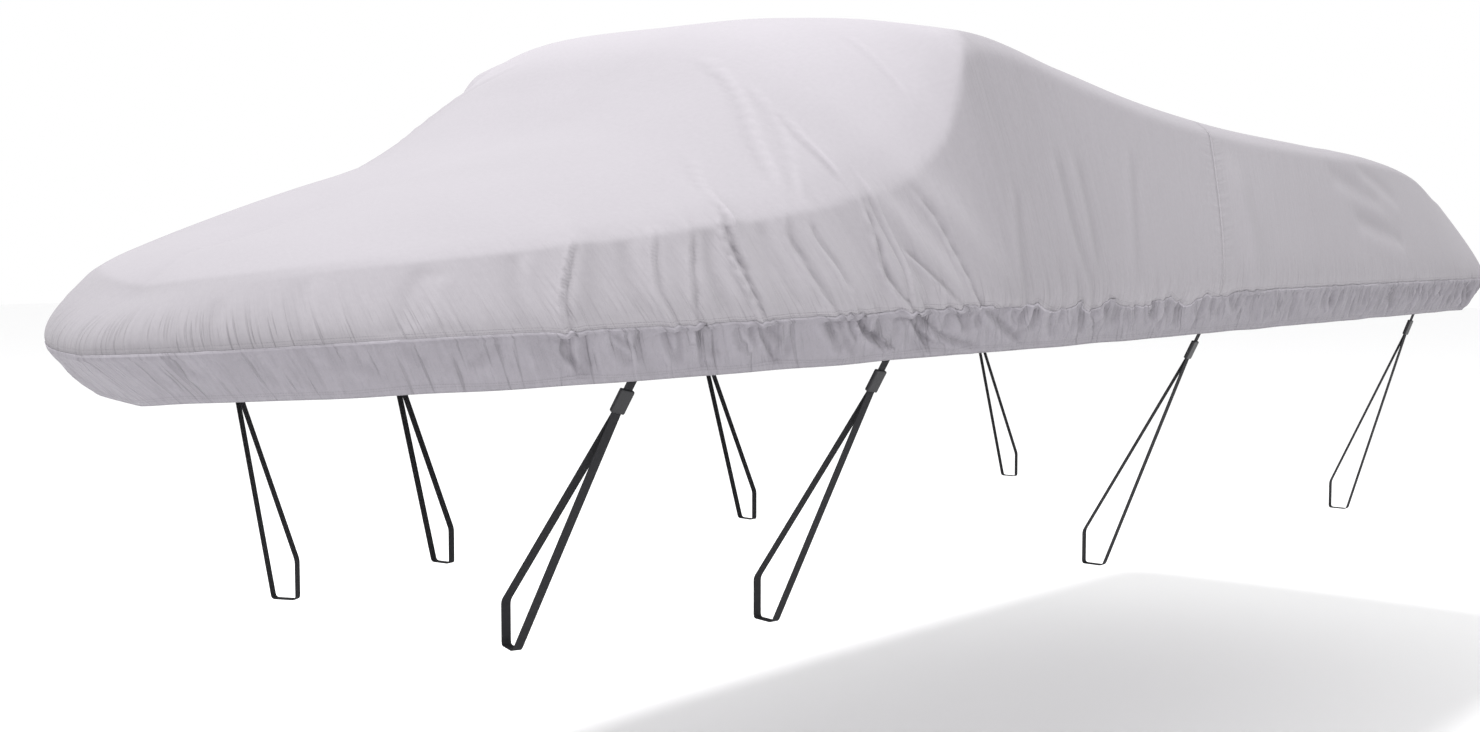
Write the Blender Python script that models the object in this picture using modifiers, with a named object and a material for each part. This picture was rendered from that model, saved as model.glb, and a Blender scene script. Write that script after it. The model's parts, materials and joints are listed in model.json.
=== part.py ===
"""A fitted cover for a small motor boat, in the shape in which it is stretched over the boat.

Two canopy panels meet at a cross seam behind the windscreen. A gathered skirt hangs from the gunwale
seam and turns in under the gunwale. Eight tie-down straps hang from tabs on the hem, each from a
buckle, round the place of a trailer's rail and back up.

Lengths are metres. The shape is worked out with x running aft from the bow tip, y to starboard and z
up from the gunwale seam amidships. ORIGIN, under the top where the windscreen holds the cloth up, is
then the part's own origin.
"""

import math

import bmesh
import bpy
import numpy as np
from mathutils import Matrix, Vector

ORIGIN = Vector((1.80, 0.0, 0.6815))

# Cloth and webbing
CLOTH = 0.002
PANEL_GAP = 0.0004
LAP = 0.004
LAP_CLEARANCE = 0.0020
LAP_DROP = 0.006
WEBBING_WIDTH = 0.020
WEBBING = 0.0018

# Outline of the widest line, just above the gunwale seam
LENGTH = 5.05
HALF_BEAM = 0.985
BOW_LENGTH = 2.40
BOW_FULLNESS = 2.4
STERN_HALF_BEAM = 0.965
CORNER_RADIUS = 0.20
TRANSOM_CROWN = 0.03
OUTLINE_STEPS = {"bow": 200, "side": 100, "corner": 40, "transom": 60}
HEADING_REACH = 0.04

# "run" is the distance along the gunwale from the bow tip, on either side.
RIM = {
    "run": (0.00, 0.25, 0.60, 1.20, 2.00, 3.00, 4.50, 6.27),
    "seam_height": (-0.052, -0.040, -0.020, 0.000, 0.018, 0.024, 0.028, 0.028),
    "hem_height": (-0.148, -0.132, -0.120, -0.102, -0.086, -0.083, -0.082, -0.082),
    "hem_inset": (0.125, 0.095, 0.085, 0.080, 0.080, 0.080, 0.080, 0.080),
}
# The crease is the edge between the upright sides and the top. It climbs to the windscreen's
# corner at run 2.1 and falls from there to the stern.
CREASE = {
    "run": (0.00, 0.25, 0.45, 0.85, 1.20, 1.60, 1.82, 1.93, 2.03, 2.12,
            2.50, 2.86, 3.30, 4.00, 4.50, 4.90, 5.15, 5.40, 5.70, 6.27),
    "inset": (0.120, 0.085, 0.065, 0.060, 0.065, 0.075, 0.090, 0.110, 0.140, 0.150,
              0.145, 0.140, 0.135, 0.130, 0.135, 0.150, 0.170, 0.195, 0.215, 0.235),
    "height": (0.052, 0.078, 0.105, 0.148, 0.190, 0.255, 0.325, 0.420, 0.605, 0.618,
               0.560, 0.508, 0.470, 0.444, 0.430, 0.388, 0.325, 0.290, 0.310, 0.335),
}
RIDGE = {
    "x": (0.30, 0.45, 0.60, 0.80, 0.97, 1.10, 1.25, 1.40, 1.52, 1.62,
          1.80, 2.10, 2.50, 3.00, 3.50, 4.00, 4.40, 4.65),
    "height": (0.148, 0.192, 0.246, 0.310, 0.358, 0.406, 0.500, 0.608, 0.670, 0.686,
               0.682, 0.660, 0.610, 0.550, 0.512, 0.472, 0.415, 0.366),
}
# A rib runs up the cloth from the hem to the ridge. "lean" is how far aft its crease point lies from
# its foot, and "fullness" how early it levels off on its way in from the crease.
RIB = {
    "run": (0.00, 0.25, 0.50, 0.80, 1.20, 1.60, 1.90, 2.02, 2.14,
            2.50, 3.00, 3.50, 4.00, 4.50, 5.00, 5.35, 6.27),
    "lean": (0.00, -0.03, -0.05, -0.08, -0.10, -0.11, -0.10, -0.09, -0.07,
             0.00, 0.18, 0.15, 0.06, 0.00, 0.00, 0.00, 0.00),
    "ridge_x": (0.30, 0.34, 0.43, 0.60, 0.90, 1.23, 1.47, 1.57, 1.67,
                2.10, 2.80, 3.24, 3.64, 3.96, 4.24, 4.40, 4.60),
    "fullness": (1.9, 1.9, 1.9, 2.0, 2.2, 2.5, 3.3, 4.0, 3.0,
                 2.2, 2.2, 2.2, 2.2, 2.1, 2.0, 1.9, 1.9),
}
SEAM_TUCK = 0.010
TUCK_FADE = 0.030
SKIRT_CURVE = 1.15
WALL_LEAN = 1.25
CREASE_ROUNDING = 0.3

# Ribs are closest where the cloth is folded: spacing from each run to the next.
RIB_SPACING = {
    "from_run": (0.00, 0.90, 2.15, 3.20),
    "spacing": (0.075, 0.050, 0.080, 0.115),
}
CROSS_SEAM_RUN = 3.03
FIXED_RIBS = (CROSS_SEAM_RUN, 3.09, 4.76)

# Levels up a rib: -1 the hem, 0 the gunwale seam, 1 the crease, 2 the ridge.
SKIRT_LEVELS = (-0.36, -0.70, -1.00)
SIDE_LEVELS = (0.00, 0.08, 0.25, 0.45, 0.67, 0.87)
TOP_LEVELS = (1.06, 1.20, 1.36, 1.55, 1.77, 2.00)

# Ridges on the port side, where the cloth is pulled down and aft. "top", "foot" and "hem" are the
# runs at which each crosses the crease, the gunwale seam and the hem. It fades out above level
# "upper" and below level "lower".
FOLDS = {
    "top": (1.06, 1.23, 1.31, 1.40, 1.55, 1.60, 1.71, 1.76, 1.87, 3.12, 4.15),
    "foot": (0.93, 1.14, 1.21, 1.34, 1.52, 1.58, 1.72, 1.88, 2.04, 3.25, 4.45),
    "hem": (0.99, 1.17, 1.25, 1.43, 1.60, 1.70, 1.86, 2.05, 2.20, 3.35, 4.60),
    "depth": (0.016, 0.009, 0.010, 0.017, 0.010, 0.009, 0.018, 0.012, 0.011, 0.009, 0.010),
    "width": (0.035, 0.030, 0.030, 0.035, 0.035, 0.030, 0.040, 0.040, 0.045, 0.060, 0.080),
    "upper": (0.90, 0.85, 0.90, 0.95, 0.90, 0.90, 0.95, 0.95, 1.00, 0.60, 1.10),
    "lower": (-0.7, 0.00, -0.7, -0.7, 0.00, -0.50, -0.7, -0.20, -0.20, -0.40, 0.30),
}
FOLD_FADE = 0.30
STARBOARD_SHIFT = 0.07
STARBOARD_DEPTH = 0.8
# Gathers: waves of these lengths along the gunwale, none above the first level, full below the second.
GATHER_DEPTH = 0.0018
GATHER_WAVES = (0.26, 0.37, 0.61)
GATHER_PHASE = 9.0
GATHER_LEVELS = (0.35, -0.80)

# Straps, the same on both sides. The rail is left out, and its section sets the loop's size.
STRAPS = {
    "run": (1.10, 1.735, 3.09, 4.76),
    "rail_x": (0.70, 1.30, 2.63, 4.30),
    "rail_half": (0.375, 0.540, 0.620, 0.660),
    "rail_top": (-0.560, -0.580, -0.635, -0.670),
}
RAIL_WIDTH = 0.060
RAIL_HEIGHT = 0.090
RAIL_BEND = 0.008
RAIL_BEND_STEPS = 3
TAB_SEWN = 0.028
TAB_CLEARANCE = 0.0075
TAB_DROP = 0.030
TAB_BEND_ABOVE = 0.002
TAB_BEND_BELOW = 0.006
TAB_LEVEL = -0.70
BUCKLE_LENGTH = 0.052
BUCKLE_WIDTH = 0.031
BUCKLE_THICKNESS = 0.011
BUCKLE_BEVEL = 0.003
SLOT_DEPTH = 0.012
SLOT_FILL = 0.007
SLOT_CLEARANCE = 0.0005
STRAND_GAP = 0.0008
STRAND_EXIT = 0.002

SLOPE_LIMIT = 2.2
MERGE_DISTANCE = 0.00001
LEVEL_STEP = 0.05
TINY = 1e-9

LILAC_GREY = (0.60, 0.57, 0.62, 1.0)
SKIRT_GREY = (0.52, 0.49, 0.54, 1.0)
BLACK = (0.02, 0.02, 0.022, 1.0)


def clear_scene():
    for thing in list(bpy.data.objects):
        bpy.data.objects.remove(thing)


def make_collection(name):
    group = bpy.data.collections.new(name)
    bpy.context.scene.collection.children.link(group)
    return group


def make_material(name, colour, roughness):
    finish = bpy.data.materials.new(name)
    finish.use_nodes = True
    surface = finish.node_tree.nodes["Principled BSDF"]
    surface.inputs["Base Color"].default_value = colour
    surface.inputs["Roughness"].default_value = roughness
    surface.inputs["Metallic"].default_value = 0.0
    finish.diffuse_color = colour
    return finish


def along(rows, key, column, at):
    """Reads a column of a table at places along its key, with a smooth curve that doesn't overshoot."""
    xs = np.array(rows[key])
    ys = np.array(rows[column])
    secant = np.diff(ys) / np.diff(xs)
    before = np.r_[secant[0], secant]
    after = np.r_[secant, secant[-1]]
    limit = SLOPE_LIMIT * np.minimum(np.abs(before), np.abs(after))
    slope = np.where(before * after > 0, np.clip(np.gradient(ys, xs), -limit, limit), 0.0)
    at = np.clip(at, xs[0], xs[-1])
    i = np.clip(np.searchsorted(xs, at, side="right") - 1, 0, len(xs) - 2)
    step = xs[i + 1] - xs[i]
    t = (at - xs[i]) / step
    start = (2 * t**3 - 3 * t**2 + 1) * ys[i] + (t**3 - 2 * t**2 + t) * step * slope[i]
    end = (3 * t**2 - 2 * t**3) * ys[i + 1] + (t**3 - t**2) * step * slope[i + 1]
    return start + end


def smooth_step(low, high, at):
    t = np.clip((at - low) / (high - low), 0.0, 1.0)
    return t * t * (3 - 2 * t)


def half_outline():
    """Points of the starboard half of the outline, bow tip to stern centre, and their runs."""
    turn = np.linspace(0, math.pi / 2, OUTLINE_STEPS["bow"])
    x = BOW_LENGTH * (1 - np.cos(turn))
    bow = np.stack([x, HALF_BEAM * np.sqrt(1 - (1 - x / BOW_LENGTH) ** BOW_FULLNESS)], 1)
    end = LENGTH - TRANSOM_CROWN - CORNER_RADIUS
    x = np.linspace(BOW_LENGTH, end, OUTLINE_STEPS["side"])[1:]
    taper = (HALF_BEAM - STERN_HALF_BEAM) * ((x - BOW_LENGTH) / (end - BOW_LENGTH)) ** 2
    side = np.stack([x, HALF_BEAM - taper], 1)
    turn = np.linspace(0, math.pi / 2, OUTLINE_STEPS["corner"])[1:]
    flat = STERN_HALF_BEAM - CORNER_RADIUS
    corner = np.stack([end + CORNER_RADIUS * np.sin(turn), flat + CORNER_RADIUS * np.cos(turn)], 1)
    y = np.linspace(flat, 0, OUTLINE_STEPS["transom"])[1:]
    transom = np.stack([LENGTH - TRANSOM_CROWN * (y / flat) ** 2, y], 1)
    path = np.concatenate([bow, side, corner, transom])
    run = np.r_[0, np.cumsum(np.hypot(*np.diff(path, axis=0).T))]
    return path, run


PATH, PATH_RUN = half_outline()
HALF_RUN = PATH_RUN[-1]


def rim_point(run, inset):
    """Plan points at runs along the starboard outline, moved inwards by the inset."""
    def at(place):
        past = np.where(place > HALF_RUN, 2 * HALF_RUN - place, np.abs(place))
        side = np.where((place < 0) | (place > HALF_RUN), -1.0, 1.0)
        return np.interp(past, PATH_RUN, PATH[:, 0]), side * np.interp(past, PATH_RUN, PATH[:, 1])

    x, y = at(run)
    back_x, back_y = at(run - HEADING_REACH)
    next_x, next_y = at(run + HEADING_REACH)
    size = np.hypot(next_x - back_x, next_y - back_y)
    return x + inset * (next_y - back_y) / size, y - inset * (next_x - back_x) / size


def rib_runs():
    """Signed runs of all ribs, port negative, from the stern's centre round by the bow and back.

    Where ribs are far apart, one is moved onto the cross seam and one onto each strap.
    """
    stops = list(RIB_SPACING["from_run"][1:]) + [HALF_RUN]
    runs = [0.0]
    for stop, spacing in zip(stops, RIB_SPACING["spacing"]):
        steps = round((stop - runs[-1]) / spacing)
        runs.extend(np.linspace(runs[-1], stop, steps + 1)[1:])
    half = np.array(runs)
    for fixed in FIXED_RIBS:
        half[np.argmin(np.abs(half - fixed))] = fixed
    return np.concatenate([-half[:0:-1], half[:-1]])


def level_points(signed, level):
    """Points of the smooth form at one level, one for each signed run."""
    run = np.abs(signed)
    side = np.where(signed < 0, -1.0, 1.0)
    seam = along(RIM, "run", "seam_height", run)
    crease_run = run + along(RIB, "run", "lean", run)
    crease_inset = along(CREASE, "run", "inset", crease_run)
    crease_height = along(CREASE, "run", "height", crease_run)
    if level < 0:
        hem_inset = along(RIM, "run", "hem_inset", run)
        inset = SEAM_TUCK + (hem_inset - SEAM_TUCK) * (-level) ** SKIRT_CURVE
        x, y = rim_point(run, inset)
        z = seam + (along(RIM, "run", "hem_height", run) - seam) * -level
    elif level <= 1:
        rise = (crease_height - seam) * level
        inset = SEAM_TUCK * np.exp(-rise / TUCK_FADE) + crease_inset * level**WALL_LEAN
        x, y = rim_point(run + (crease_run - run) * level, inset)
        z = seam + rise
    else:
        inwards = level - 1
        ridge_x = along(RIB, "run", "ridge_x", run)
        ridge = along(RIDGE, "x", "height", ridge_x)
        lift = 1 - (1 - inwards) ** along(RIB, "run", "fullness", run)
        x, y = rim_point(crease_run, crease_inset)
        x = x + (ridge_x - x) * inwards
        y = y * (1 - inwards)
        z = crease_height + (ridge - crease_height) * lift
    return np.stack([x, side * y, z], 1)


def fold_depth(signed, level):
    """How far the cloth stands out (+) or is drawn in (-) from the smooth form."""
    run = np.abs(signed)
    port = signed < 0
    shift = np.where(port, 0.0, STARBOARD_SHIFT)
    strength = np.where(port, 1.0, STARBOARD_DEPTH)
    total = np.zeros_like(run)
    for top, foot, hem, depth, width, upper, lower in zip(*FOLDS.values()):
        centre = foot + (top - foot) * level if level > 0 else foot + (hem - foot) * -level
        across = (run - centre - shift) / width
        fade = smooth_step(lower - FOLD_FADE, lower, level) * smooth_step(upper + FOLD_FADE, upper, level)
        total += strength * depth * fade * np.exp(-across**2)
    waves = [np.sin(2 * math.pi * signed / wave + wave * GATHER_PHASE) for wave in GATHER_WAVES]
    return total - GATHER_DEPTH * sum(waves) * smooth_step(*GATHER_LEVELS, level)


def outward_normals(net):
    """Unit normals of a net of rib points, whose first axis goes round the closed ring of ribs."""
    around = np.roll(net, -1, axis=0) - np.roll(net, 1, axis=0)
    up = np.gradient(net, axis=1)
    normal = np.cross(up, around)
    size = np.linalg.norm(normal, axis=2, keepdims=True)
    return normal / np.maximum(size, TINY)


def folded_net(signed, levels):
    """The cloth's inner face: the smooth form at each level, moved out or in by the folds."""
    smooth = np.stack([level_points(signed, level) for level in levels], 1)
    moved = np.stack([fold_depth(signed, level) for level in levels], 1)
    return smooth + outward_normals(smooth) * moved[..., None]


def soften_crease(net, row):
    """Rounds the crease row off between the rows below and above it."""
    middle = (net[:, row - 1] + net[:, row + 1]) / 2
    net[:, row] += (middle - net[:, row]) * CREASE_ROUNDING


def cloth_object(name, net, ring, finish, group):
    """A sheet of cloth whose inner face is the net, one row of faces between each two ribs."""
    mesh = bpy.data.meshes.new(name)
    shape = bmesh.new()
    ribs = [[shape.verts.new(point) for point in rib] for rib in net]
    pairs = list(zip(ribs, ribs[1:] + ribs[:1])) if ring else list(zip(ribs, ribs[1:]))
    for left, right in pairs:
        for k in range(len(left) - 1):
            shape.faces.new((left[k], right[k], right[k + 1], left[k + 1]))
    bmesh.ops.remove_doubles(shape, verts=shape.verts, dist=MERGE_DISTANCE)
    shape.to_mesh(mesh)
    shape.free()
    mesh.materials.append(finish)
    sheet = bpy.data.objects.new(name, mesh)
    sheet.location = -ORIGIN
    group.objects.link(sheet)
    thickness = sheet.modifiers.new("Thickness", "SOLIDIFY")
    thickness.thickness = CLOTH
    thickness.offset = -1.0
    thickness.use_even_offset = True
    mesh.shade_smooth()


def make_canopies(signed, net, finish, group):
    """The two canopy panels, which meet edge to edge along the cross seam's ribs."""
    port = int(np.argmin(np.abs(signed + CROSS_SEAM_RUN)))
    starboard = int(np.argmin(np.abs(signed - CROSS_SEAM_RUN)))
    front = net[port:starboard + 1].copy()
    front[[0, -1], :, 0] -= PANEL_GAP
    rear = np.concatenate([net[starboard:], net[:port + 1]])
    rear[[0, -1], :, 0] += PANEL_GAP
    cloth_object("canopy_front", front, False, finish, group)
    cloth_object("canopy_rear", rear, False, finish, group)


def make_skirt(signed, canopy, finish, group):
    """The gathered band. Its upper edge laps up over the canopies' lower edge."""
    hanging = folded_net(signed, SKIRT_LEVELS)
    foot = canopy[:, 0]
    up = canopy[:, 1] - foot
    up /= np.linalg.norm(up, axis=1, keepdims=True)
    clear = outward_normals(canopy)[:, 0] * (CLOTH + LAP_CLEARANCE)
    rows = [foot + up * LAP + clear, foot + clear, foot - up * LAP_DROP + clear]
    rows.extend(hanging[:, k] for k in range(len(SKIRT_LEVELS)))
    cloth_object("skirt", np.stack(rows, 1)[:, ::-1], True, finish, group)


def rounded_path(points, radius):
    """The polyline with each inner corner replaced by a short curve."""
    path = [points[0]]
    for before, corner, after in zip(points, points[1:], points[2:]):
        start = corner + (before - corner).normalized() * radius
        end = corner + (after - corner).normalized() * radius
        for k in range(RAIL_BEND_STEPS + 1):
            t = k / RAIL_BEND_STEPS
            path.append(start.lerp(corner, t).lerp(corner.lerp(end, t), t))
    path.append(points[-1])
    return path


def webbing_object(name, path, across, finish, group):
    """A flat band of webbing along a path, its width in the across direction."""
    mesh = bpy.data.meshes.new(name)
    shape = bmesh.new()
    half = across * WEBBING_WIDTH / 2
    pairs = [(shape.verts.new(point - half), shape.verts.new(point + half)) for point in path]
    for (a, b), (c, d) in zip(pairs, pairs[1:]):
        shape.faces.new((a, b, d, c))
    shape.to_mesh(mesh)
    shape.free()
    mesh.materials.append(finish)
    band = bpy.data.objects.new(name, mesh)
    band.location = -ORIGIN
    group.objects.link(band)
    thickness = band.modifiers.new("Thickness", "SOLIDIFY")
    thickness.thickness = WEBBING
    thickness.offset = 0.0
    thickness.use_even_offset = True


def box_object(name, size, group):
    shape = bmesh.new()
    bmesh.ops.create_cube(shape, size=1.0)
    bmesh.ops.scale(shape, vec=size, verts=shape.verts)
    mesh = bpy.data.meshes.new(name)
    shape.to_mesh(mesh)
    shape.free()
    box = bpy.data.objects.new(name, mesh)
    group.objects.link(box)
    return box


def make_buckle(name, frame, finish, group, cutters):
    """A closed buckle: x across the webbing, z up it, with a slot at each end for the webbing."""
    body = box_object(name, (BUCKLE_WIDTH, BUCKLE_THICKNESS, BUCKLE_LENGTH), group)
    body.data.materials.append(finish)
    body.matrix_world = frame
    edges = body.modifiers.new("Edges", "BEVEL")
    edges.width = BUCKLE_BEVEL
    edges.segments = 2
    edges.limit_method = "ANGLE"
    slot_width = WEBBING_WIDTH + 2 * SLOT_CLEARANCE
    upper_slot = WEBBING + 2 * SLOT_CLEARANCE
    lower_slot = 2 * WEBBING + STRAND_GAP + 2 * SLOT_CLEARANCE
    for place, slot, sign in (("upper", upper_slot, 1), ("lower", lower_slot, -1)):
        cutter = box_object(name + "_" + place + "_slot", (slot_width, slot, 2 * SLOT_DEPTH), cutters)
        cutter.matrix_world = frame @ Matrix.Translation((0, 0, sign * BUCKLE_LENGTH / 2))
        cutter.hide_render = True
        cutter.display_type = "WIRE"
        cut = body.modifiers.new(place, "BOOLEAN")
        cut.operation = "DIFFERENCE"
        cut.solver = "EXACT"
        cut.object = cutter


def folded_points(signed, level):
    """Points of the folded cloth at one level of the skirt, for a few neighbouring runs."""
    rows = np.stack([level_points(signed, level - LEVEL_STEP), level_points(signed, level + LEVEL_STEP)], 1)
    around = np.gradient(rows, axis=0).mean(axis=1)
    outward = np.cross(around, rows[:, 1] - rows[:, 0]) * -np.sign(signed[:, None])
    outward /= np.linalg.norm(outward, axis=1, keepdims=True)
    return level_points(signed, level) + outward * fold_depth(signed, level)[:, None]


def make_tie_down(name, side, place, finishes, group, cutters):
    """The tab under the hem, its buckle, and the strap that goes round the rail's place and back."""
    run = STRAPS["run"][place]
    signed = side * np.array([run - WEBBING_WIDTH / 2, run, run + WEBBING_WIDTH / 2])
    hem = folded_points(signed, -1.0)
    above = folded_points(signed, TAB_LEVEL)
    across = Vector(hem[2] - hem[0])
    across.z = 0.0
    across.normalize()
    inboard = across.cross(Vector((0, 0, 1))) * side
    hem = Vector(hem[1])
    up_skirt = (Vector(above[1]) - hem).normalized()
    behind_skirt = across.cross(up_skirt).normalized()
    if behind_skirt.dot(inboard) < 0:
        behind_skirt.negate()
    tab_line = hem + behind_skirt * (CLOTH + TAB_CLEARANCE + WEBBING / 2)

    rail = Vector((STRAPS["rail_x"][place], side * STRAPS["rail_half"][place], STRAPS["rail_top"][place]))
    drop = Vector((0, 0, RAIL_HEIGHT))
    half_rail = inboard * RAIL_WIDTH / 2
    down = (rail - drop / 2 - tab_line).normalized()
    normal = down.cross(across).normalized()
    if normal.dot(inboard) < 0:
        normal.negate()
    buckle_top = tab_line + down * TAB_DROP
    buckle_foot = buckle_top + down * BUCKLE_LENGTH

    sewn = [tab_line + up_skirt * TAB_SEWN, tab_line + up_skirt * TAB_BEND_ABOVE]
    hanging = [tab_line + down * TAB_BEND_BELOW, buckle_top + down * SLOT_FILL]
    webbing_object("tab_" + name, sewn + hanging, across, finishes["webbing"], group)

    width_axis = down.cross(normal).normalized()
    frame = Matrix((width_axis, normal, -down)).transposed().to_4x4()
    frame.translation = buckle_top + down * BUCKLE_LENGTH / 2 - ORIGIN
    make_buckle("buckle_" + name, frame, finishes["plastic"], group, cutters)

    apart = normal * (WEBBING + STRAND_GAP) / 2
    hidden = down * -SLOT_FILL
    below = buckle_foot + down * STRAND_EXIT
    under_rail = [rail - half_rail - drop, rail + half_rail - drop, rail + half_rail]
    loop = rounded_path([below - apart] + under_rail + [below + apart], RAIL_BEND)
    loop.insert(0, buckle_foot + hidden - apart)
    loop.append(buckle_foot + hidden + apart)
    webbing_object("strap_" + name, loop, across, finishes["webbing"], group)


def main():
    clear_scene()
    group = make_collection("boat_cover")
    cutters = make_collection("cutters")
    canopy_cloth = make_material("canopy_cloth", LILAC_GREY, 0.75)
    skirt_cloth = make_material("skirt_cloth", SKIRT_GREY, 0.78)
    finishes = {
        "webbing": make_material("webbing", BLACK, 0.8),
        "plastic": make_material("buckle_plastic", BLACK, 0.45),
    }
    signed = rib_runs()
    levels = SIDE_LEVELS + (1.0,) + TOP_LEVELS
    canopy = folded_net(signed, levels)
    soften_crease(canopy, len(SIDE_LEVELS))
    make_canopies(signed, canopy, canopy_cloth, group)
    make_skirt(signed, canopy, skirt_cloth, group)
    for side, side_name in ((-1, "port"), (1, "starboard")):
        for place in range(len(STRAPS["run"])):
            make_tie_down(side_name + "_" + str(place + 1), side, place, finishes, group, cutters)


main()
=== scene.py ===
# %% [markdown]
# # A fitted boat cover
#
# The cover is drawn tight over a boat that isn't here. It rises from the bow in a long slope to the
# windscreen, runs level for a little, and falls away to the stern. Its lower edge is a gathered skirt
# that turns in under the gunwale, and eight straps go down from its hem to a trailer's rails.
#
# The imported solids fix every size and place. They can't carry what the eye looks for on canvas:
# creases, puckers, stitches and the weave. So this script lays a fine cloth over each cloth solid,
# and gives every piece its finish.

# %% Start: the imported model
import json
import math

import bmesh
import bpy
import numpy as np
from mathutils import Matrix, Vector

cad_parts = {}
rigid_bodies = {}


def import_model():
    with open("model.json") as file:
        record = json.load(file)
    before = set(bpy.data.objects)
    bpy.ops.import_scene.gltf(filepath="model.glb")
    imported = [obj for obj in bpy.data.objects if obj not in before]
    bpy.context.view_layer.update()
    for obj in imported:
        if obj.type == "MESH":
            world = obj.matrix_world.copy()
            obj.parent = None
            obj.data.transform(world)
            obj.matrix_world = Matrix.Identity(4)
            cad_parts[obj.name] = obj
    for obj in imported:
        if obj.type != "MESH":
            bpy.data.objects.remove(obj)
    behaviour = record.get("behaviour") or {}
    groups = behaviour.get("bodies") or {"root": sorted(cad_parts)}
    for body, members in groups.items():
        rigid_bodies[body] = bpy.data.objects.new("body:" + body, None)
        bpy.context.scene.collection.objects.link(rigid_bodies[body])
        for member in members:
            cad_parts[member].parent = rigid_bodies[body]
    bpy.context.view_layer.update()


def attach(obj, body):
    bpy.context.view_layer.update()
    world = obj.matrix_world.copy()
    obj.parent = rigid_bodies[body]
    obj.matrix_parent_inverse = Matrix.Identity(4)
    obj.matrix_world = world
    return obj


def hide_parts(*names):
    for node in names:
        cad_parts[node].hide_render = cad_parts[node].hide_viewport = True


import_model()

# %% [markdown]
# ## Camera
#
# A camera in Blender looks down its own -Z. Turned by 90 degrees about X it looks level, and a little
# less than 90 tips it down. It stands off the port bow, a little below the gunwale, where the slope,
# the side and the skirt all show. A lens of about 42 mm keeps the near bow from looking swollen.

# %% Camera
LENS, SENSOR = 42.32, 36.0
EYE = (-3.425, -2.92, -0.5315)
HEADING, PITCH = 50.0, 3.98


def link(thing):
    """Puts an object into the scene."""
    bpy.context.scene.collection.objects.link(thing)
    return thing


lens = bpy.data.cameras.new("camera")
lens.lens = LENS
lens.sensor_width = SENSOR
camera = link(bpy.data.objects.new("camera", lens))
camera.location = EYE
camera.rotation_euler = (math.radians(90 - PITCH), 0, math.radians(-HEADING))
bpy.context.scene.camera = camera
print("camera at", EYE, "heading", HEADING, "degrees from +Y towards +X")

# %% [markdown]
# ## Light
#
# Studio light is soft because the lamps are large. The key lamp is high over the bow, so the slope
# that faces up is the brightest part and the upright sides are one step darker. A fill lamp on the
# port side and an even sky keep the folds' shaded sides open. A picture of a sky would light it too,
# but lamps can be moved one at a time until the tones are right.

# %% Lamps and sky
LAMPS = {
    "key": {"place": (-2.6, 0.9, 9.2), "size": 2.2, "watts": 1195},
    "fill": {"place": (-4.5, -8.5, 2.0), "size": 3.0, "watts": 160},
    "rim": {"place": (7.0, 5.0, 4.0), "size": 5.0, "watts": 10},
}
LAMP_AIM = (0.4, 0, -0.5)
SKY_COLOUR, SKY_STRENGTH = (1.0, 1.0, 1.0, 1), 1.0


def area_light(name, place, size, watts):
    """A round lamp that looks at the middle of the cover."""
    lamp = bpy.data.lights.new(name, "AREA")
    lamp.shape = "DISK"
    lamp.size = size
    lamp.energy = watts
    light = link(bpy.data.objects.new(name, lamp))
    light.location = place
    light.rotation_euler = (Vector(LAMP_AIM) - Vector(place)).to_track_quat("-Z", "Y").to_euler()


def set_sockets(node, values):
    """Sets a node's inputs by their names."""
    for socket, value in values.items():
        node.inputs[socket].default_value = value


for name, numbers in LAMPS.items():
    area_light(name, **numbers)
world = bpy.data.worlds.new("sky")
world.use_nodes = True
set_sockets(world.node_tree.nodes["Background"], {"Color": SKY_COLOUR, "Strength": SKY_STRENGTH})
bpy.context.scene.world = world
bpy.context.scene.view_settings.view_transform = "Standard"
print("lamps:", ", ".join(LAMPS), "and an even sky of", SKY_STRENGTH)

# %% [markdown]
# ## Floor
#
# The floor lies where the trailer's wheels would stand: one flat grid, painted nearly white. A finish
# in Blender is a tree of nodes that ends in a surface, and each one below starts in this same way.

# %% Floor
FLOOR_Z, FLOOR_REACH, FLOOR_SQUARES = -2.05, 40.0, 8
FLOOR_PAINT = {"Roughness": 0.9, "Specular IOR Level": 0.1}
FLOOR_GRAIN = 0.6
FLOOR_TONES = ((0.94, 0.94, 0.945, 1), (0.97, 0.97, 0.97, 1))


def new_finish(name):
    """A material with nodes, its tree and its surface."""
    material = bpy.data.materials.new(name)
    material.use_nodes = True
    return material, material.node_tree, material.node_tree.nodes["Principled BSDF"]


def tone_ramp(tree, value, dark, light):
    """Colours from dark to light, for a value from 0 to 1."""
    ramp = tree.nodes.new("ShaderNodeValToRGB")
    ramp.color_ramp.elements[0].color = dark
    ramp.color_ramp.elements[1].color = light
    tree.links.new(value, ramp.inputs["Fac"])
    return ramp.outputs["Color"]


shape = bmesh.new()
bmesh.ops.create_grid(shape, x_segments=FLOOR_SQUARES, y_segments=FLOOR_SQUARES, size=FLOOR_REACH)
mesh = bpy.data.meshes.new("floor")
shape.to_mesh(mesh)
shape.free()
floor = link(bpy.data.objects.new("floor", mesh))
floor.location = (0, 0, FLOOR_Z)
floor_paint, tree, surface = new_finish("floor_paint")
set_sockets(surface, FLOOR_PAINT)
grain = tree.nodes.new("ShaderNodeTexNoise")
grain.inputs["Scale"].default_value = FLOOR_GRAIN
tree.links.new(tone_ramp(tree, grain.outputs["Fac"], *FLOOR_TONES), surface.inputs["Base Color"])
mesh.materials.append(floor_paint)
print("floor at", FLOOR_Z)

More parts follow.
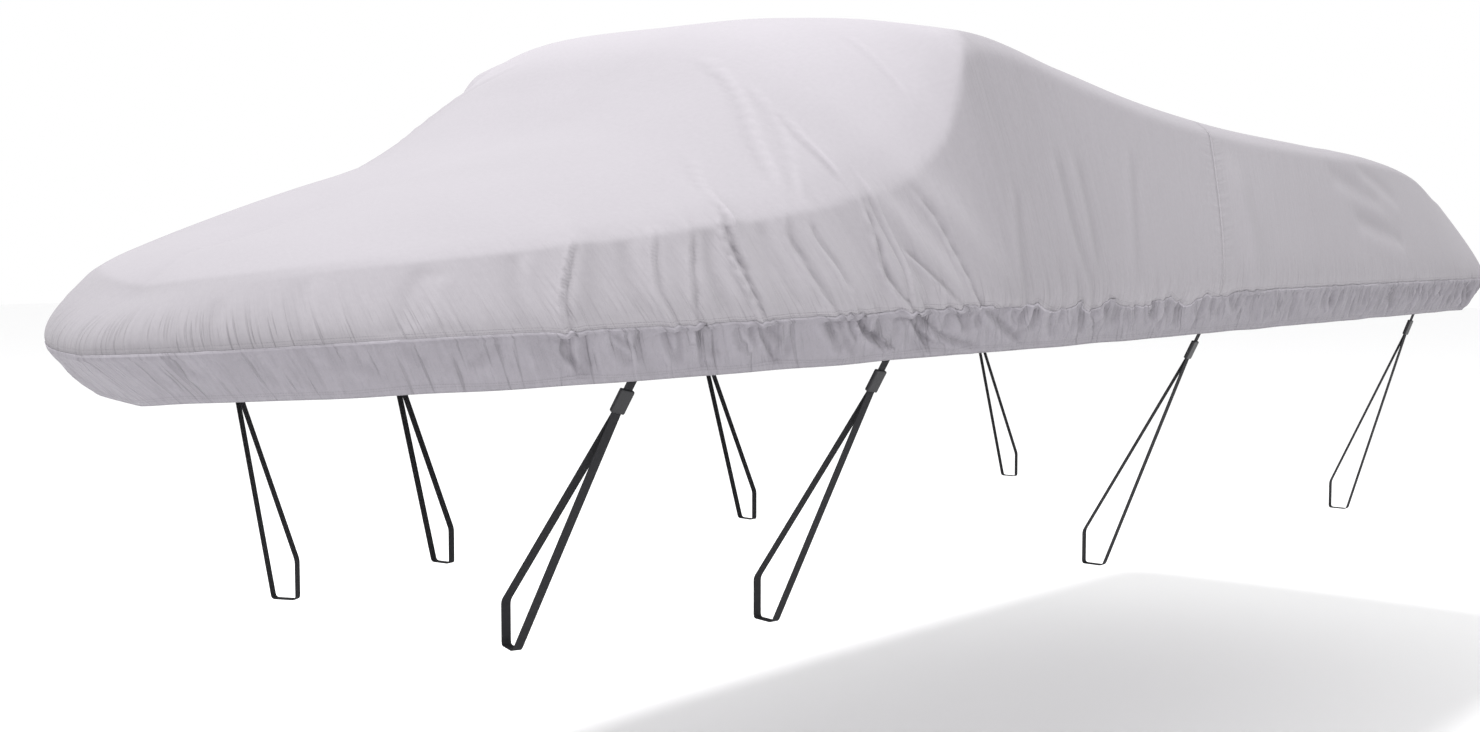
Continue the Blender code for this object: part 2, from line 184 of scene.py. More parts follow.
# %% [markdown]
# ## Tables of the form
#
# A cover like this has no simple shape: its height, lean and roundness all change along the boat. It
# could be sculpted, or draped by a simulation. Here the form is a few short tables with a smooth curve
# through each column, the same tables that the solids were made from, so the cloth lies on them.
#
# The curve is a cubic between each two places. Its slopes are held back, and are level at a peak,
# because a plain cubic overshoots there and leaves dents that nobody sewed.

# %% A smooth curve through a table
SLOPE_LIMIT = 2.2  # times the flatter of the two slopes beside a place


def along(rows, column, at):
    """Reads a column at places along the table's first one, with a curve that doesn't overshoot."""
    xs = np.array(next(iter(rows.values())))
    ys = np.array(rows[column])
    secant = np.diff(ys) / np.diff(xs)
    before = np.r_[secant[0], secant]
    after = np.r_[secant, secant[-1]]
    limit = SLOPE_LIMIT * np.minimum(np.abs(before), np.abs(after))
    slope = np.where(before * after > 0, np.clip(np.gradient(ys, xs), -limit, limit), 0.0)
    at = np.clip(at, xs[0], xs[-1])
    i = np.clip(np.searchsorted(xs, at, side="right") - 1, 0, len(xs) - 2)
    step = xs[i + 1] - xs[i]
    t = (at - xs[i]) / step
    start = (2 * t**3 - 3 * t**2 + 1) * ys[i] + (t**3 - 2 * t**2 + t) * step * slope[i]
    end = (3 * t**2 - 2 * t**3) * ys[i + 1] + (t**3 - t**2) * step * slope[i + 1]
    return start + end


def smooth_step(low, high, at):
    """0 at low, 1 at high, and an easy curve between them."""
    t = np.clip((at - low) / (high - low), 0.0, 1.0)
    return t * t * (3 - 2 * t)


print("a quarter of the way, the easy step is at %.3f" % smooth_step(0, 4, 1))

# %% [markdown]
# ## The gunwale's outline
#
# The gunwale is the boat's upper edge, and the seam between canopy and skirt follows it. A place on it
# is given by its "run", the distance along the edge from the bow tip, negative on the port side. With
# runs, the ribs of cloth stand square to the edge all the way round the bow and the transom.
#
# x goes aft from the bow tip, y to starboard, and z up from the seam amidships. ORIGIN is the part's
# own origin, under the windscreen's top edge.

# %% Half of the outline, and points beside it
ORIGIN = np.array([1.80, 0.0, 0.6815])
LENGTH, HALF_BEAM = 5.05, 0.985
BOW_LENGTH, BOW_FULLNESS = 2.40, 2.4
STERN_HALF_BEAM, CORNER_RADIUS, TRANSOM_CROWN = 0.965, 0.20, 0.03
BOW_POINTS, SIDE_POINTS, CORNER_POINTS, TRANSOM_POINTS = 400, 100, 80, 60
SQUARE_REACH = 0.04  # how far to each side the edge's direction is measured


def half_outline():
    """Plan points along the starboard gunwale from bow tip to mid transom, and their runs."""
    turn = np.linspace(0, math.pi / 2, BOW_POINTS)
    x = BOW_LENGTH * (1 - np.cos(turn))
    bow = np.stack([x, HALF_BEAM * np.sqrt(1 - (1 - x / BOW_LENGTH) ** BOW_FULLNESS)], 1)
    end = LENGTH - TRANSOM_CROWN - CORNER_RADIUS
    x = np.linspace(BOW_LENGTH, end, SIDE_POINTS)[1:]
    taper = (HALF_BEAM - STERN_HALF_BEAM) * ((x - BOW_LENGTH) / (end - BOW_LENGTH)) ** 2
    side = np.stack([x, HALF_BEAM - taper], 1)
    turn = np.linspace(0, math.pi / 2, CORNER_POINTS)[1:]
    flat = STERN_HALF_BEAM - CORNER_RADIUS
    corner = np.stack([end + CORNER_RADIUS * np.sin(turn), flat + CORNER_RADIUS * np.cos(turn)], 1)
    y = np.linspace(flat, 0, TRANSOM_POINTS)[1:]
    transom = np.stack([LENGTH - TRANSOM_CROWN * (y / flat) ** 2, y], 1)
    path = np.concatenate([bow, side, corner, transom])
    return path, np.r_[0, np.cumsum(np.hypot(*np.diff(path, axis=0).T))]


PATH, PATH_RUN = half_outline()
HALF_RUN = PATH_RUN[-1]


def rim_point(run, inset):
    """Plan points at runs along the starboard outline, moved inwards by the inset."""
    def at(place):
        past = np.where(place > HALF_RUN, 2 * HALF_RUN - place, np.abs(place))
        side = np.where((place < 0) | (place > HALF_RUN), -1.0, 1.0)
        return np.interp(past, PATH_RUN, PATH[:, 0]), side * np.interp(past, PATH_RUN, PATH[:, 1])

    x, y = at(run)
    back_x, back_y = at(run - SQUARE_REACH)
    next_x, next_y = at(run + SQUARE_REACH)
    size = np.hypot(next_x - back_x, next_y - back_y)
    return x + inset * (next_y - back_y) / size, y - inset * (next_x - back_x) / size


print("half of the gunwale is %.2f m long" % HALF_RUN)

# %% [markdown]
# ## The smooth form
#
# A rib of cloth starts at the hem (level -1), goes up past the gunwale seam (0) and the crease between
# side and top (1), and ends at the ridge on the centre line (2). RIM has the seam and the hem, CREASE
# the crease, RIDGE the centre line. RIB says how each rib lies: how far its crease leans along the
# boat, where it meets the ridge, and how round the top is. A surface shaped by hand would need the
# same decisions, but here each is a number, and every rib follows when it changes.
#
# At the nose the cloth is pulled in under itself by the skirt's cord. There the side is rounder, and
# drawn in a little more than on the solid.

# %% Tables of the rim, crease, ridge and ribs
RIM = {
    "run": (0.00, 0.25, 0.60, 1.20, 2.00, 3.00, 4.50, 6.27),
    "seam_height": (-0.052, -0.040, -0.020, 0.000, 0.018, 0.024, 0.028, 0.028),
    "hem_height": (-0.148, -0.132, -0.120, -0.102, -0.086, -0.083, -0.082, -0.082),
    "hem_inset": (0.125, 0.095, 0.085, 0.080, 0.080, 0.080, 0.080, 0.080),
}
CREASE = {
    "run": (0.00, 0.25, 0.45, 0.85, 1.20, 1.60, 1.82, 1.93, 2.03, 2.12,
            2.50, 2.86, 3.30, 4.00, 4.50, 4.90, 5.15, 5.40, 5.70, 6.27),
    "inset": (0.120, 0.085, 0.065, 0.060, 0.065, 0.075, 0.090, 0.110, 0.140, 0.150,
              0.145, 0.140, 0.135, 0.130, 0.135, 0.150, 0.170, 0.195, 0.215, 0.235),
    "height": (0.052, 0.078, 0.105, 0.148, 0.190, 0.255, 0.325, 0.420, 0.605, 0.618,
               0.560, 0.508, 0.470, 0.444, 0.430, 0.388, 0.325, 0.290, 0.310, 0.335),
}
RIDGE = {
    "x": (0.30, 0.45, 0.60, 0.80, 0.97, 1.10, 1.25, 1.40, 1.52, 1.62,
          1.80, 2.10, 2.50, 3.00, 3.50, 4.00, 4.40, 4.65),
    "height": (0.148, 0.192, 0.246, 0.310, 0.358, 0.406, 0.500, 0.608, 0.670, 0.686,
               0.682, 0.660, 0.610, 0.550, 0.512, 0.472, 0.415, 0.366),
}
RIB = {
    "run": (0.00, 0.25, 0.50, 0.80, 1.20, 1.60, 1.90, 2.02, 2.14,
            2.50, 3.00, 3.50, 4.00, 4.50, 5.00, 5.35, 6.27),
    "lean": (0.00, -0.03, -0.05, -0.08, -0.10, -0.11, -0.10, -0.09, -0.07,
             0.00, 0.18, 0.15, 0.06, 0.00, 0.00, 0.00, 0.00),
    "ridge_x": (0.30, 0.34, 0.43, 0.60, 0.90, 1.23, 1.47, 1.57, 1.67,
                2.10, 2.80, 3.24, 3.64, 3.96, 4.24, 4.40, 4.60),
    "fullness": (1.9, 1.9, 1.9, 2.0, 2.2, 2.5, 3.3, 4.0, 3.0,
                 2.2, 2.2, 2.2, 2.2, 2.1, 2.0, 1.9, 1.9),
}
print("places in the tables:", [len(rows["run"]) for rows in (RIM, CREASE, RIB)], len(RIDGE["x"]))

# %% Points of the smooth form
SEAM_TUCK, TUCK_FADE = 0.010, 0.030  # drawn in at the seam, and the height over which that fades
SKIRT_CURVE, WALL_LEAN = 1.15, 1.25  # above 1 the cloth bows out
NOSE_ROUNDING, NOSE_REACH = 1.0, 0.80
NOSE_INSET, NOSE_INSET_RUN, NOSE_INSET_REACH = 0.020, 0.45, 0.28


def level_points(signed, level):
    """Points of the smooth form at one level, one for each signed run."""
    run = np.abs(signed)
    side = np.where(signed < 0, -1.0, 1.0)
    seam = along(RIM, "seam_height", run)
    crease_run = run + along(RIB, "lean", run)
    nose = np.exp(-(((crease_run - NOSE_INSET_RUN) / NOSE_INSET_REACH) ** 2))
    crease_inset = along(CREASE, "inset", crease_run) + NOSE_INSET * nose
    crease_height = along(CREASE, "height", crease_run)
    if level < 0:
        hem_inset = along(RIM, "hem_inset", run)
        inset = SEAM_TUCK + (hem_inset - SEAM_TUCK) * (-level) ** SKIRT_CURVE
        x, y = rim_point(run, inset)
        z = seam + (along(RIM, "hem_height", run) - seam) * -level
    elif level <= 1:
        rise = (crease_height - seam) * level
        lean = WALL_LEAN + NOSE_ROUNDING * smooth_step(NOSE_REACH, 0, run)
        inset = SEAM_TUCK * np.exp(-rise / TUCK_FADE) + crease_inset * level**lean
        x, y = rim_point(run + (crease_run - run) * level, inset)
        z = seam + rise
    else:
        inwards = level - 1
        ridge_x = along(RIB, "ridge_x", run)
        ridge = along(RIDGE, "height", ridge_x)
        lift = 1 - (1 - inwards) ** along(RIB, "fullness", run)
        x, y = rim_point(crease_run, crease_inset)
        x = x + (ridge_x - x) * inwards
        y = y * (1 - inwards)
        z = crease_height + (ridge - crease_height) * lift
    return np.stack([x, side * y, z], 1)


highest = level_points(np.linspace(0, HALF_RUN, 200), 2.0)[:, 2].max()
print("the ridge's highest place is %.3f m above the seam" % highest)

# %% [markdown]
# ## The broad folds
#
# Canvas pulled down by straps falls in soft, leaning folds under the windscreen's corner, and gathers
# slightly where the skirt's cord draws it in. Each column of the table is one fold: its run at the
# crease, the seam and the hem, its depth and width, and the highest and lowest level it reaches. Bell
# curves do well for soft folds, and simply add up. The starboard side has the same folds, a little
# farther aft and shallower, so that the two sides aren't mirror images.

# %% Broad folds and gathers
FOLDS = {
    "top": (1.06, 1.23, 1.31, 1.40, 1.55, 1.60, 1.71, 1.76, 1.87, 3.12, 4.15),
    "foot": (0.93, 1.14, 1.21, 1.34, 1.52, 1.58, 1.72, 1.88, 2.04, 3.25, 4.45),
    "hem": (0.99, 1.17, 1.25, 1.43, 1.60, 1.70, 1.86, 2.05, 2.20, 3.35, 4.60),
    "depth": (0.016, 0.009, 0.010, 0.017, 0.010, 0.009, 0.018, 0.012, 0.011, 0.009, 0.006),
    "width": (0.035, 0.030, 0.030, 0.035, 0.035, 0.030, 0.040, 0.040, 0.045, 0.060, 0.080),
    "upper": (0.90, 0.85, 0.90, 0.95, 0.90, 0.90, 0.95, 0.95, 1.00, 0.60, 0.85),
    "lower": (-0.7, 0.00, -0.7, -0.7, 0.00, -0.50, -0.7, -0.20, -0.20, -0.40, 0.30),
}
FOLD_FADE = 0.30
STARBOARD_SHIFT, STARBOARD_DEPTH = 0.07, 0.8
GATHER_DEPTH, GATHER_WAVES, GATHER_PHASE = 0.0018, (0.26, 0.37, 0.61), 9.0
GATHER_LEVELS = (0.35, -0.80)
HEM_HOLD, HEM_ZONE = 0.7, (-0.75, -1.0)


def fold_depth(signed, level):
    """How far the cloth stands out (+) or is drawn in (-) from the smooth form."""
    run = np.abs(signed)
    port = signed < 0
    shift = np.where(port, 0.0, STARBOARD_SHIFT)
    strength = np.where(port, 1.0, STARBOARD_DEPTH)
    total = np.zeros_like(run)
    for top, foot, hem, depth, width, upper, lower in zip(*FOLDS.values()):
        centre = foot + (top - foot) * level if level > 0 else foot + (hem - foot) * -level
        across = (run - centre - shift) / width
        fade = smooth_step(lower - FOLD_FADE, lower, level)
        fade = fade * smooth_step(upper + FOLD_FADE, upper, level)
        total += strength * depth * fade * np.exp(-across**2)
    waves = [np.sin(2 * math.pi * signed / wave + wave * GATHER_PHASE) for wave in GATHER_WAVES]
    total = total - GATHER_DEPTH * sum(waves) * smooth_step(*GATHER_LEVELS, level)
    return total * (1 - HEM_HOLD * smooth_step(*HEM_ZONE, level))


print("broad folds on each side:", len(FOLDS["top"]))

# %% [markdown]
# ## The net
#
# The whole cloth is first a net of points: ribs side by side along the gunwale, and rows up each rib.
# A sharp crease needs ribs a few millimetres apart, and a plain stern doesn't, so the spacing changes
# along the boat. An even net would spend most of its points where nothing happens.
#
# The net is the cloth's inner face. The folds move it along its normals, which are the directions
# square to the surface. The crease between side and top is then rounded off, as taut cloth is.

# %% Ribs and rows
CROSS_SEAM_RUN = 3.03
RIB_STOPS = (0.0, 0.92, 2.20, CROSS_SEAM_RUN, HALF_RUN)
RIB_STEPS = (0.0140, 0.0044, 0.0112, 0.0100)
CANOPY_STOPS, CANOPY_COUNTS = (0.0, 0.12, 0.90, 1.0, 1.10, 1.5, 2.0), (5, 22, 4, 5, 11, 8)
SKIRT_STOPS, SKIRT_COUNTS = (0.0, 0.12, 1.0), (3, 16)


def spaced(stops, counts):
    """Places from the first stop to the last, with a count of even steps between each two."""
    parts = [np.linspace(a, b, count + 1)[1:] for a, b, count in zip(stops, stops[1:], counts)]
    return np.concatenate([[stops[0]], *parts])


counts = [round((b - a) / step) for a, b, step in zip(RIB_STOPS, RIB_STOPS[1:], RIB_STEPS)]
half = spaced(RIB_STOPS, counts)
RUNS = np.concatenate([-half[::-1], half[1:]])
CANOPY_LEVELS = spaced(CANOPY_STOPS, CANOPY_COUNTS)
SKIRT_LEVELS = -spaced(SKIRT_STOPS, SKIRT_COUNTS)
print("ribs:", len(RUNS), "canopy levels:", len(CANOPY_LEVELS), "skirt levels:", len(SKIRT_LEVELS))

# %% The folded net
ROUNDING_SPREAD, ROUNDING_PASSES = 0.04, 24


def outward_normals(net):
    """Unit normals of a net of ribs, pointing out of the cover."""
    normal = np.cross(np.gradient(net, axis=1), np.gradient(net, axis=0))
    size = np.linalg.norm(normal, axis=2, keepdims=True)
    return normal / np.maximum(size, 1e-9)


def folded_net(levels):
    """The cloth's inner face: the smooth form, moved out or in by the folds."""
    smooth = np.stack([level_points(RUNS, level) for level in levels], 1)
    moved = np.stack([fold_depth(RUNS, level) for level in levels], 1)
    return smooth + outward_normals(smooth) * moved[..., None]


def round_off(net, levels, middle):
    """Smooths the ribs along their own length round one level, to round a crease off."""
    weight = 0.5 * np.exp(-((levels - middle) / ROUNDING_SPREAD) ** 2)[None, 1:-1, None]
    for _ in range(ROUNDING_PASSES):
        average = (net[:, 2:] + net[:, :-2]) / 2
        net[:, 1:-1] += (average - net[:, 1:-1]) * weight


canopy_net = folded_net(CANOPY_LEVELS)
round_off(canopy_net, CANOPY_LEVELS, 1.0)
skirt_net = folded_net(SKIRT_LEVELS)
print("canopy net", canopy_net.shape, "skirt net", skirt_net.shape)

# %% [markdown]
# ## Creases placed one by one
#
# Sharp creases run from the strained places: the windscreen's corner, the straps and the corded hem.
# A cloth simulation gives creases too, but never in the right places, so each main crease is a row of
# a table: how deep its trough is, how wide, how high the ridge on its bow side stands as a share of
# the depth, and the places it passes through as (run, level) on the port side, from the top down. A
# minus depth makes a ridge with a trough beside it.

# %% The table of creases
STROKES = [
    # from the crease line down to the hem, forward of the windscreen
    (0.0069, 0.0065, 0.8, (1.07, 1.02), (1.01, 0.69), (0.95, 0.23),
     (0.93, -0.31), (0.96, -0.64), (1.00, -0.93)),
    (0.0041, 0.0050, 0.5, (0.93, -0.17), (0.96, -0.60), (0.98, -0.98)),
    (0.0045, 0.0065, 0.9, (1.24, 1.02), (1.18, 0.60), (1.15, 0.22), (1.18, -0.66)),
    (0.0063, 0.0065, 0.5, (1.32, 1.02), (1.23, 0.36), (1.20, 0.03), (1.25, -0.96)),
    (0.0077, 0.0065, 0.9, (1.43, 1.16), (1.38, 0.92), (1.35, 0.46), (1.34, 0.06), (1.43, -0.99)),
    (-0.0049, 0.0058, 0.6, (1.41, 1.06), (1.37, 0.66), (1.36, 0.50)),
    (0.0063, 0.0079, 0.5, (1.55, 0.99), (1.51, 0.65), (1.51, 0.34), (1.54, -0.13), (1.62, -0.91)),
    (0.0045, 0.0072, 0.6, (1.58, 0.86), (1.57, 0.68), (1.58, 0.38), (1.58, 0.19)),
    (0.0084, 0.0065, 0.9, (1.73, 1.02), (1.71, 0.62), (1.69, 0.30), (1.72, 0.02), (1.86, -0.93)),
    (-0.0063, 0.0065, 0.7, (1.76, 1.06), (1.75, 0.66), (1.75, 0.40), (1.72, 0.04)),
    (0.0084, 0.0079, 0.7, (1.72, 0.03), (1.84, -0.50), (2.04, -0.96)),
    (0.0063, 0.0079, 0.6, (1.86, 0.98), (1.90, 0.66), (1.92, 0.35),
     (1.94, 0.08), (2.04, -0.40), (2.18, -0.91)),
    (0.0063, 0.0065, 0.7, (1.77, 0.52), (1.79, 0.43), (1.84, 0.18), (1.91, -0.10)),
    (0.0069, 0.0065, 0.6, (1.91, 0.18), (2.02, -0.25), (2.18, -0.91)),
    (0.0091, 0.0065, 0.7, (1.57, 0.08), (1.61, -0.32), (1.74, -0.82)),
    (0.0056, 0.0065, 0.8, (1.00, 0.09), (1.03, -0.12), (1.08, -0.40)),
    # on the slope, running up to the windscreen's corner
    (-0.0049, 0.0111, 0.8, (1.79, 1.62), (1.70, 1.35), (1.65, 1.25), (1.57, 1.04)),
    (-0.0034, 0.0095, 0.8, (1.76, 1.42), (1.71, 1.24), (1.59, 0.99)),
    (-0.0051, 0.0072, 0.8, (1.74, 1.26), (1.72, 1.17), (1.71, 0.99)),
    (-0.0031, 0.0087, 0.8, (1.50, 1.30), (1.42, 1.10), (1.37, 0.80)),
    (-0.0024, 0.0079, 0.8, (2.01, 1.30), (2.00, 1.20), (1.99, 1.06)),
    # down the skirt from the peaks of its uneven edge
    (0.0060, 0.009, 0.6, (2.15, -0.04), (2.16, -0.30), (2.13, -0.70)),
    (0.0060, 0.011, 0.6, (2.32, 0.00), (2.35, -0.30), (2.40, -0.70)),
    (0.0060, 0.011, 0.6, (2.44, 0.01), (2.46, -0.30), (2.44, -0.70)),
    (0.0070, 0.012, 0.6, (2.75, 0.03), (2.76, -0.35), (2.77, -0.74)),
    (0.0080, 0.012, 0.6, (2.95, 0.05), (2.97, -0.40), (3.00, -0.96)),
    (0.0060, 0.012, 0.6, (3.47, 0.00), (3.50, -0.33), (3.53, -0.72)),
    # faint ones on the bow's side
    (0.0038, 0.013, 0.8, (0.62, 0.02), (0.69, 0.60), (0.75, 0.90)),
    (0.0034, 0.012, 0.8, (0.66, 0.12), (0.73, 0.65), (0.77, 0.84)),
    (0.0025, 0.016, 0.8, (0.46, 0.02), (0.47, 0.50), (0.50, 0.92)),
    (0.0022, 0.016, 0.8, (0.30, 0.02), (0.31, 0.40), (0.33, 0.80)),
    (0.0031, 0.015, 0.8, (0.86, 0.04), (0.88, 0.50), (0.93, 0.96)),
    (0.0031, 0.016, 0.8, (1.09, 0.04), (1.11, 0.50), (1.16, 0.98)),
    (0.0031, 0.015, 0.8, (1.27, 0.04), (1.29, 0.50), (1.35, 0.96)),
    (0.0031, 0.016, 0.8, (1.44, 0.04), (1.44, 0.50), (1.47, 0.96)),
    (0.0055, 0.013, 0.6, (0.76, -0.57), (0.79, -0.30), (0.81, -0.10)),
    # aft of the windscreen
    (0.0041, 0.018, 0.7, (2.34, 0.60), (2.34, 0.32), (2.37, 0.05)),
    (0.0041, 0.020, 0.7, (2.42, 0.62), (2.42, 0.39), (2.41, 0.10)),
    (0.0035, 0.016, 0.7, (2.16, 0.45), (2.12, 0.20), (2.09, -0.05)),
    (0.0031, 0.018, 0.7, (2.66, 0.72), (2.61, 0.35), (2.57, 0.02)),
    # at the stern
    (0.0032, 0.034, 0.8, (3.92, 0.84), (4.10, 0.76), (4.38, 0.62)),
    (0.0040, 0.034, 0.8, (4.05, 0.52), (4.25, 0.44), (4.50, 0.31)),
    (0.0030, 0.030, 0.8, (4.18, 0.90), (4.36, 0.82), (4.57, 0.65)),
]
print("creases in the table:", len(STROKES))

# %% [markdown]
# ## Short pleats at the seam
#
# A cord in the hem draws the skirt together, so the seam above it puckers into hundreds of short
# pleats, too many to place by hand. They come in groups, and each pleat's place, lean, reach, depth
# and width are a little off. The numbers come from a generator with a fixed seed, so the cloth is the
# same each time the script runs.

# %% Pleats
# from and to run, how many, top and foot level, depth and width
PLEATS = [
    (0.08, 0.90, 30, 0.14, -0.85, 0.0022, 0.010),
    (0.95, 1.45, 12, 0.08, -0.85, 0.0045, 0.009),
    (1.45, 2.10, 18, 0.12, -0.75, 0.0055, 0.010),
    (2.10, 3.02, 28, 0.12, -0.80, 0.0060, 0.011),
    (3.05, 4.10, 30, 0.05, -0.95, 0.0060, 0.011),
    (4.10, 5.20, 46, 0.07, -0.98, 0.0088, 0.010),
    (5.20, 6.25, 20, 0.05, -0.95, 0.0045, 0.013),
]
PLEAT_SEED, PLEAT_RIDGE, PLEAT_MIDDLE = 20, 0.6, (0.4, 0.5)
PLEAT_PLACE, PLEAT_LEAN, PLEAT_REACH = (-0.4, 0.4), (0.02, 0.10), (0.45, 1.0)
PLEAT_TOP, PLEAT_DEPTH, PLEAT_WIDTH = (0.3, 1.6), (0.4, 1.5), (0.75, 1.3)


def pleat_strokes():
    """The pleats as rows like the ones in the table of creases."""
    spread = np.random.default_rng(PLEAT_SEED)
    strokes = []
    for start, stop, count, top, foot, depth, width in PLEATS:
        pitch = (stop - start) / count
        for k in range(count):
            run = start + pitch * (k + 0.5 + spread.uniform(*PLEAT_PLACE))
            lean = spread.uniform(*PLEAT_LEAN)
            reach = spread.uniform(*PLEAT_REACH)
            head = (run, top * spread.uniform(*PLEAT_TOP))
            middle = (run + lean * PLEAT_MIDDLE[0], foot * reach * PLEAT_MIDDLE[1])
            deep, wide = depth * spread.uniform(*PLEAT_DEPTH), width * spread.uniform(*PLEAT_WIDTH)
            strokes.append((deep, wide, PLEAT_RIDGE, head, middle, (run + lean, foot * reach)))
    return strokes


pleats = pleat_strokes()
print("short pleats on each side:", len(pleats))

# %% [markdown]
# ## Pressing a crease into the net
#
# A crease isn't only a dark line: it is a narrow trough with a ridge beside it, and light shows both.
# For each point of the net near a crease, the script finds the nearest place on its line and how far
# aside the point lies. That distance gives the trough and the ridge. Creases fade out at both ends,
# and are weaker where stitching holds the cloth flat, at the seam and the hem. A sculpting brush would
# do it faster, but a brush stroke can't be moved afterwards, and a row of the table can.

# %% Reading the net, and a rounded path over it
STROKE_SAMPLES = 50
LEVEL_IN_METRES = 0.25  # what one level counts for along a path


def net_places(net, levels, runs, heights):
    """Points of the net at any runs and levels between its ribs and rows."""
    i = np.clip(np.searchsorted(RUNS, runs) - 1, 0, len(RUNS) - 2)
    k = np.clip(np.searchsorted(levels, heights) - 1, 0, len(levels) - 2)
    a = ((runs - RUNS[i]) / (RUNS[i + 1] - RUNS[i]))[:, None]
    b = ((heights - levels[k]) / (levels[k + 1] - levels[k]))[:, None]
    low = net[i, k] * (1 - a) + net[i + 1, k] * a
    high = net[i, k + 1] * (1 - a) + net[i + 1, k + 1] * a
    return low * (1 - b) + high * b


def smooth_path(path):
    """Runs and levels at even steps along a rounded path through the given places."""
    places = np.array(path)
    steps = np.diff(places, axis=0) * (1, LEVEL_IN_METRES)
    length = np.r_[0, np.cumsum(np.hypot(*steps.T))]
    table = {"at": length, "run": places[:, 0], "level": places[:, 1]}
    at = np.linspace(0, length[-1], STROKE_SAMPLES)
    return along(table, "run", at), along(table, "level", at)


print("each crease is followed at", STROKE_SAMPLES, "places")

# %% One crease
STROKE_TAPER = 0.16  # share of its length over which a crease fades in or out
SEARCH_RUN, SEARCH_LEVEL = 0.1, 0.6  # only points this near a crease are looked at
RIDGE_ASIDE, RIDGE_SPREAD = 1.7, 0.9  # in widths of the trough
SEAM_HOLD, SEAM_ZONE = 0.5, 0.10
CREASE_HEM_ZONE = (-0.78, -1.0)


def crease_moves(net, levels, normal, path, depth, width, ridge, side, shift):
    """How far one crease moves each point of the net along its normal."""
    runs, heights = smooth_path(path)
    signed = side * (runs + shift)
    line = net_places(net, levels, signed, heights)
    way = np.gradient(line, axis=0)
    across = np.cross(net_places(normal, levels, signed, heights), way)
    across /= np.linalg.norm(across, axis=1, keepdims=True)
    taper = np.linspace(0, 1, STROKE_SAMPLES)
    taper = smooth_step(0, STROKE_TAPER, taper) * smooth_step(0, STROKE_TAPER, 1 - taper)
    near_run = (RUNS > signed.min() - SEARCH_RUN) & (RUNS < signed.max() + SEARCH_RUN)
    near_level = (levels > heights.min() - SEARCH_LEVEL) & (levels < heights.max() + SEARCH_LEVEL)
    rows = np.ix_(np.flatnonzero(near_run), np.flatnonzero(near_level))
    gap = net[rows][:, :, None] - line
    nearest = np.argmin((gap**2).sum(3), axis=2)
    gap = np.take_along_axis(gap, nearest[:, :, None, None], 2)[:, :, 0]
    aside = (gap * across[nearest]).sum(2) * -side / width
    rest = np.linalg.norm(gap, axis=2) / width
    near = np.exp(-np.maximum(rest**2 - aside**2, 0))
    shape = -np.exp(-aside**2) + ridge * np.exp(-((aside + RIDGE_ASIDE) / RIDGE_SPREAD) ** 2)
    held = 1 - SEAM_HOLD * np.exp(-(levels / SEAM_ZONE) ** 2)
    held = held * (1 - HEM_HOLD * smooth_step(*CREASE_HEM_ZONE, levels))
    moves = np.zeros(net.shape[:2])
    moves[rows] = depth * shape * taper[nearest] * near * held[near_level]
    return moves


print("a crease fades over %.0f%% of its length at each end" % (100 * STROKE_TAPER))

# %% All creases and pleats
ALL_LEVELS = np.concatenate([SKIRT_LEVELS[:0:-1], CANOPY_LEVELS])
whole = np.concatenate([skirt_net[:, :0:-1], canopy_net], 1)
normal = outward_normals(whole)
press = np.zeros(whole.shape[:2])
for depth, width, ridge, *path in STROKES + pleats:
    for side, share, shift in ((-1, 1.0, 0.0), (1, STARBOARD_DEPTH, STARBOARD_SHIFT)):
        press += crease_moves(
            whole, ALL_LEVELS, normal, path, depth * share, width, ridge, side, shift)
whole += normal * press[..., None]
print("deepest crease %.1f mm" % (-1000 * press.min()))

# %% [markdown]
# ## The skirt's uneven edge
#
# Aft of the windscreen the canopy bags over the seam, so the skirt's upper edge isn't straight: it
# dips and leaves peaks. The rows near the seam slide down the cloth for that, each rib by its own
# amount. The cloth keeps its shape, and only the line where one piece ends and the next begins moves.

# %% Dips and peaks
SKIRT_PEAKS = (1.98, 2.15, 2.32, 2.44, 2.75, 2.95, 3.12)
SKIRT_DIPS = (0.10, 0.22, 0.24, 0.22, 0.24, 0.12)
DIP_REACH, DIP_LIMIT = 0.36, 0.80  # in levels to either side of the seam

peak_runs = np.array(SKIRT_PEAKS)
place = np.abs(RUNS) - np.where(RUNS > 0, STARBOARD_SHIFT, 0.0)
bay = np.clip(np.searchsorted(peak_runs, place) - 1, 0, len(peak_runs) - 2)
part = np.clip((place - peak_runs[bay]) / (peak_runs[bay + 1] - peak_runs[bay]), 0, 1)
dip = np.array(SKIRT_DIPS)[bay] * np.sin(math.pi * part)
layers = np.concatenate([whole, press[..., None]], 2)
for row in np.flatnonzero(np.abs(ALL_LEVELS) < DIP_LIMIT):
    level = ALL_LEVELS[row]
    lower = level - dip * math.exp(-((level / DIP_REACH) ** 2))
    moved = net_places(layers, ALL_LEVELS, RUNS, lower)
    whole[:, row], press[:, row] = moved[:, :3], moved[:, 3]
seam_row = len(SKIRT_LEVELS) - 1
canopy_net, canopy_press = whole[:, seam_row:], press[:, seam_row:]
skirt_net, skirt_press = whole[:, seam_row::-1], press[:, seam_row::-1]
print("deepest dip: %.2f of the skirt's height" % dip.max())
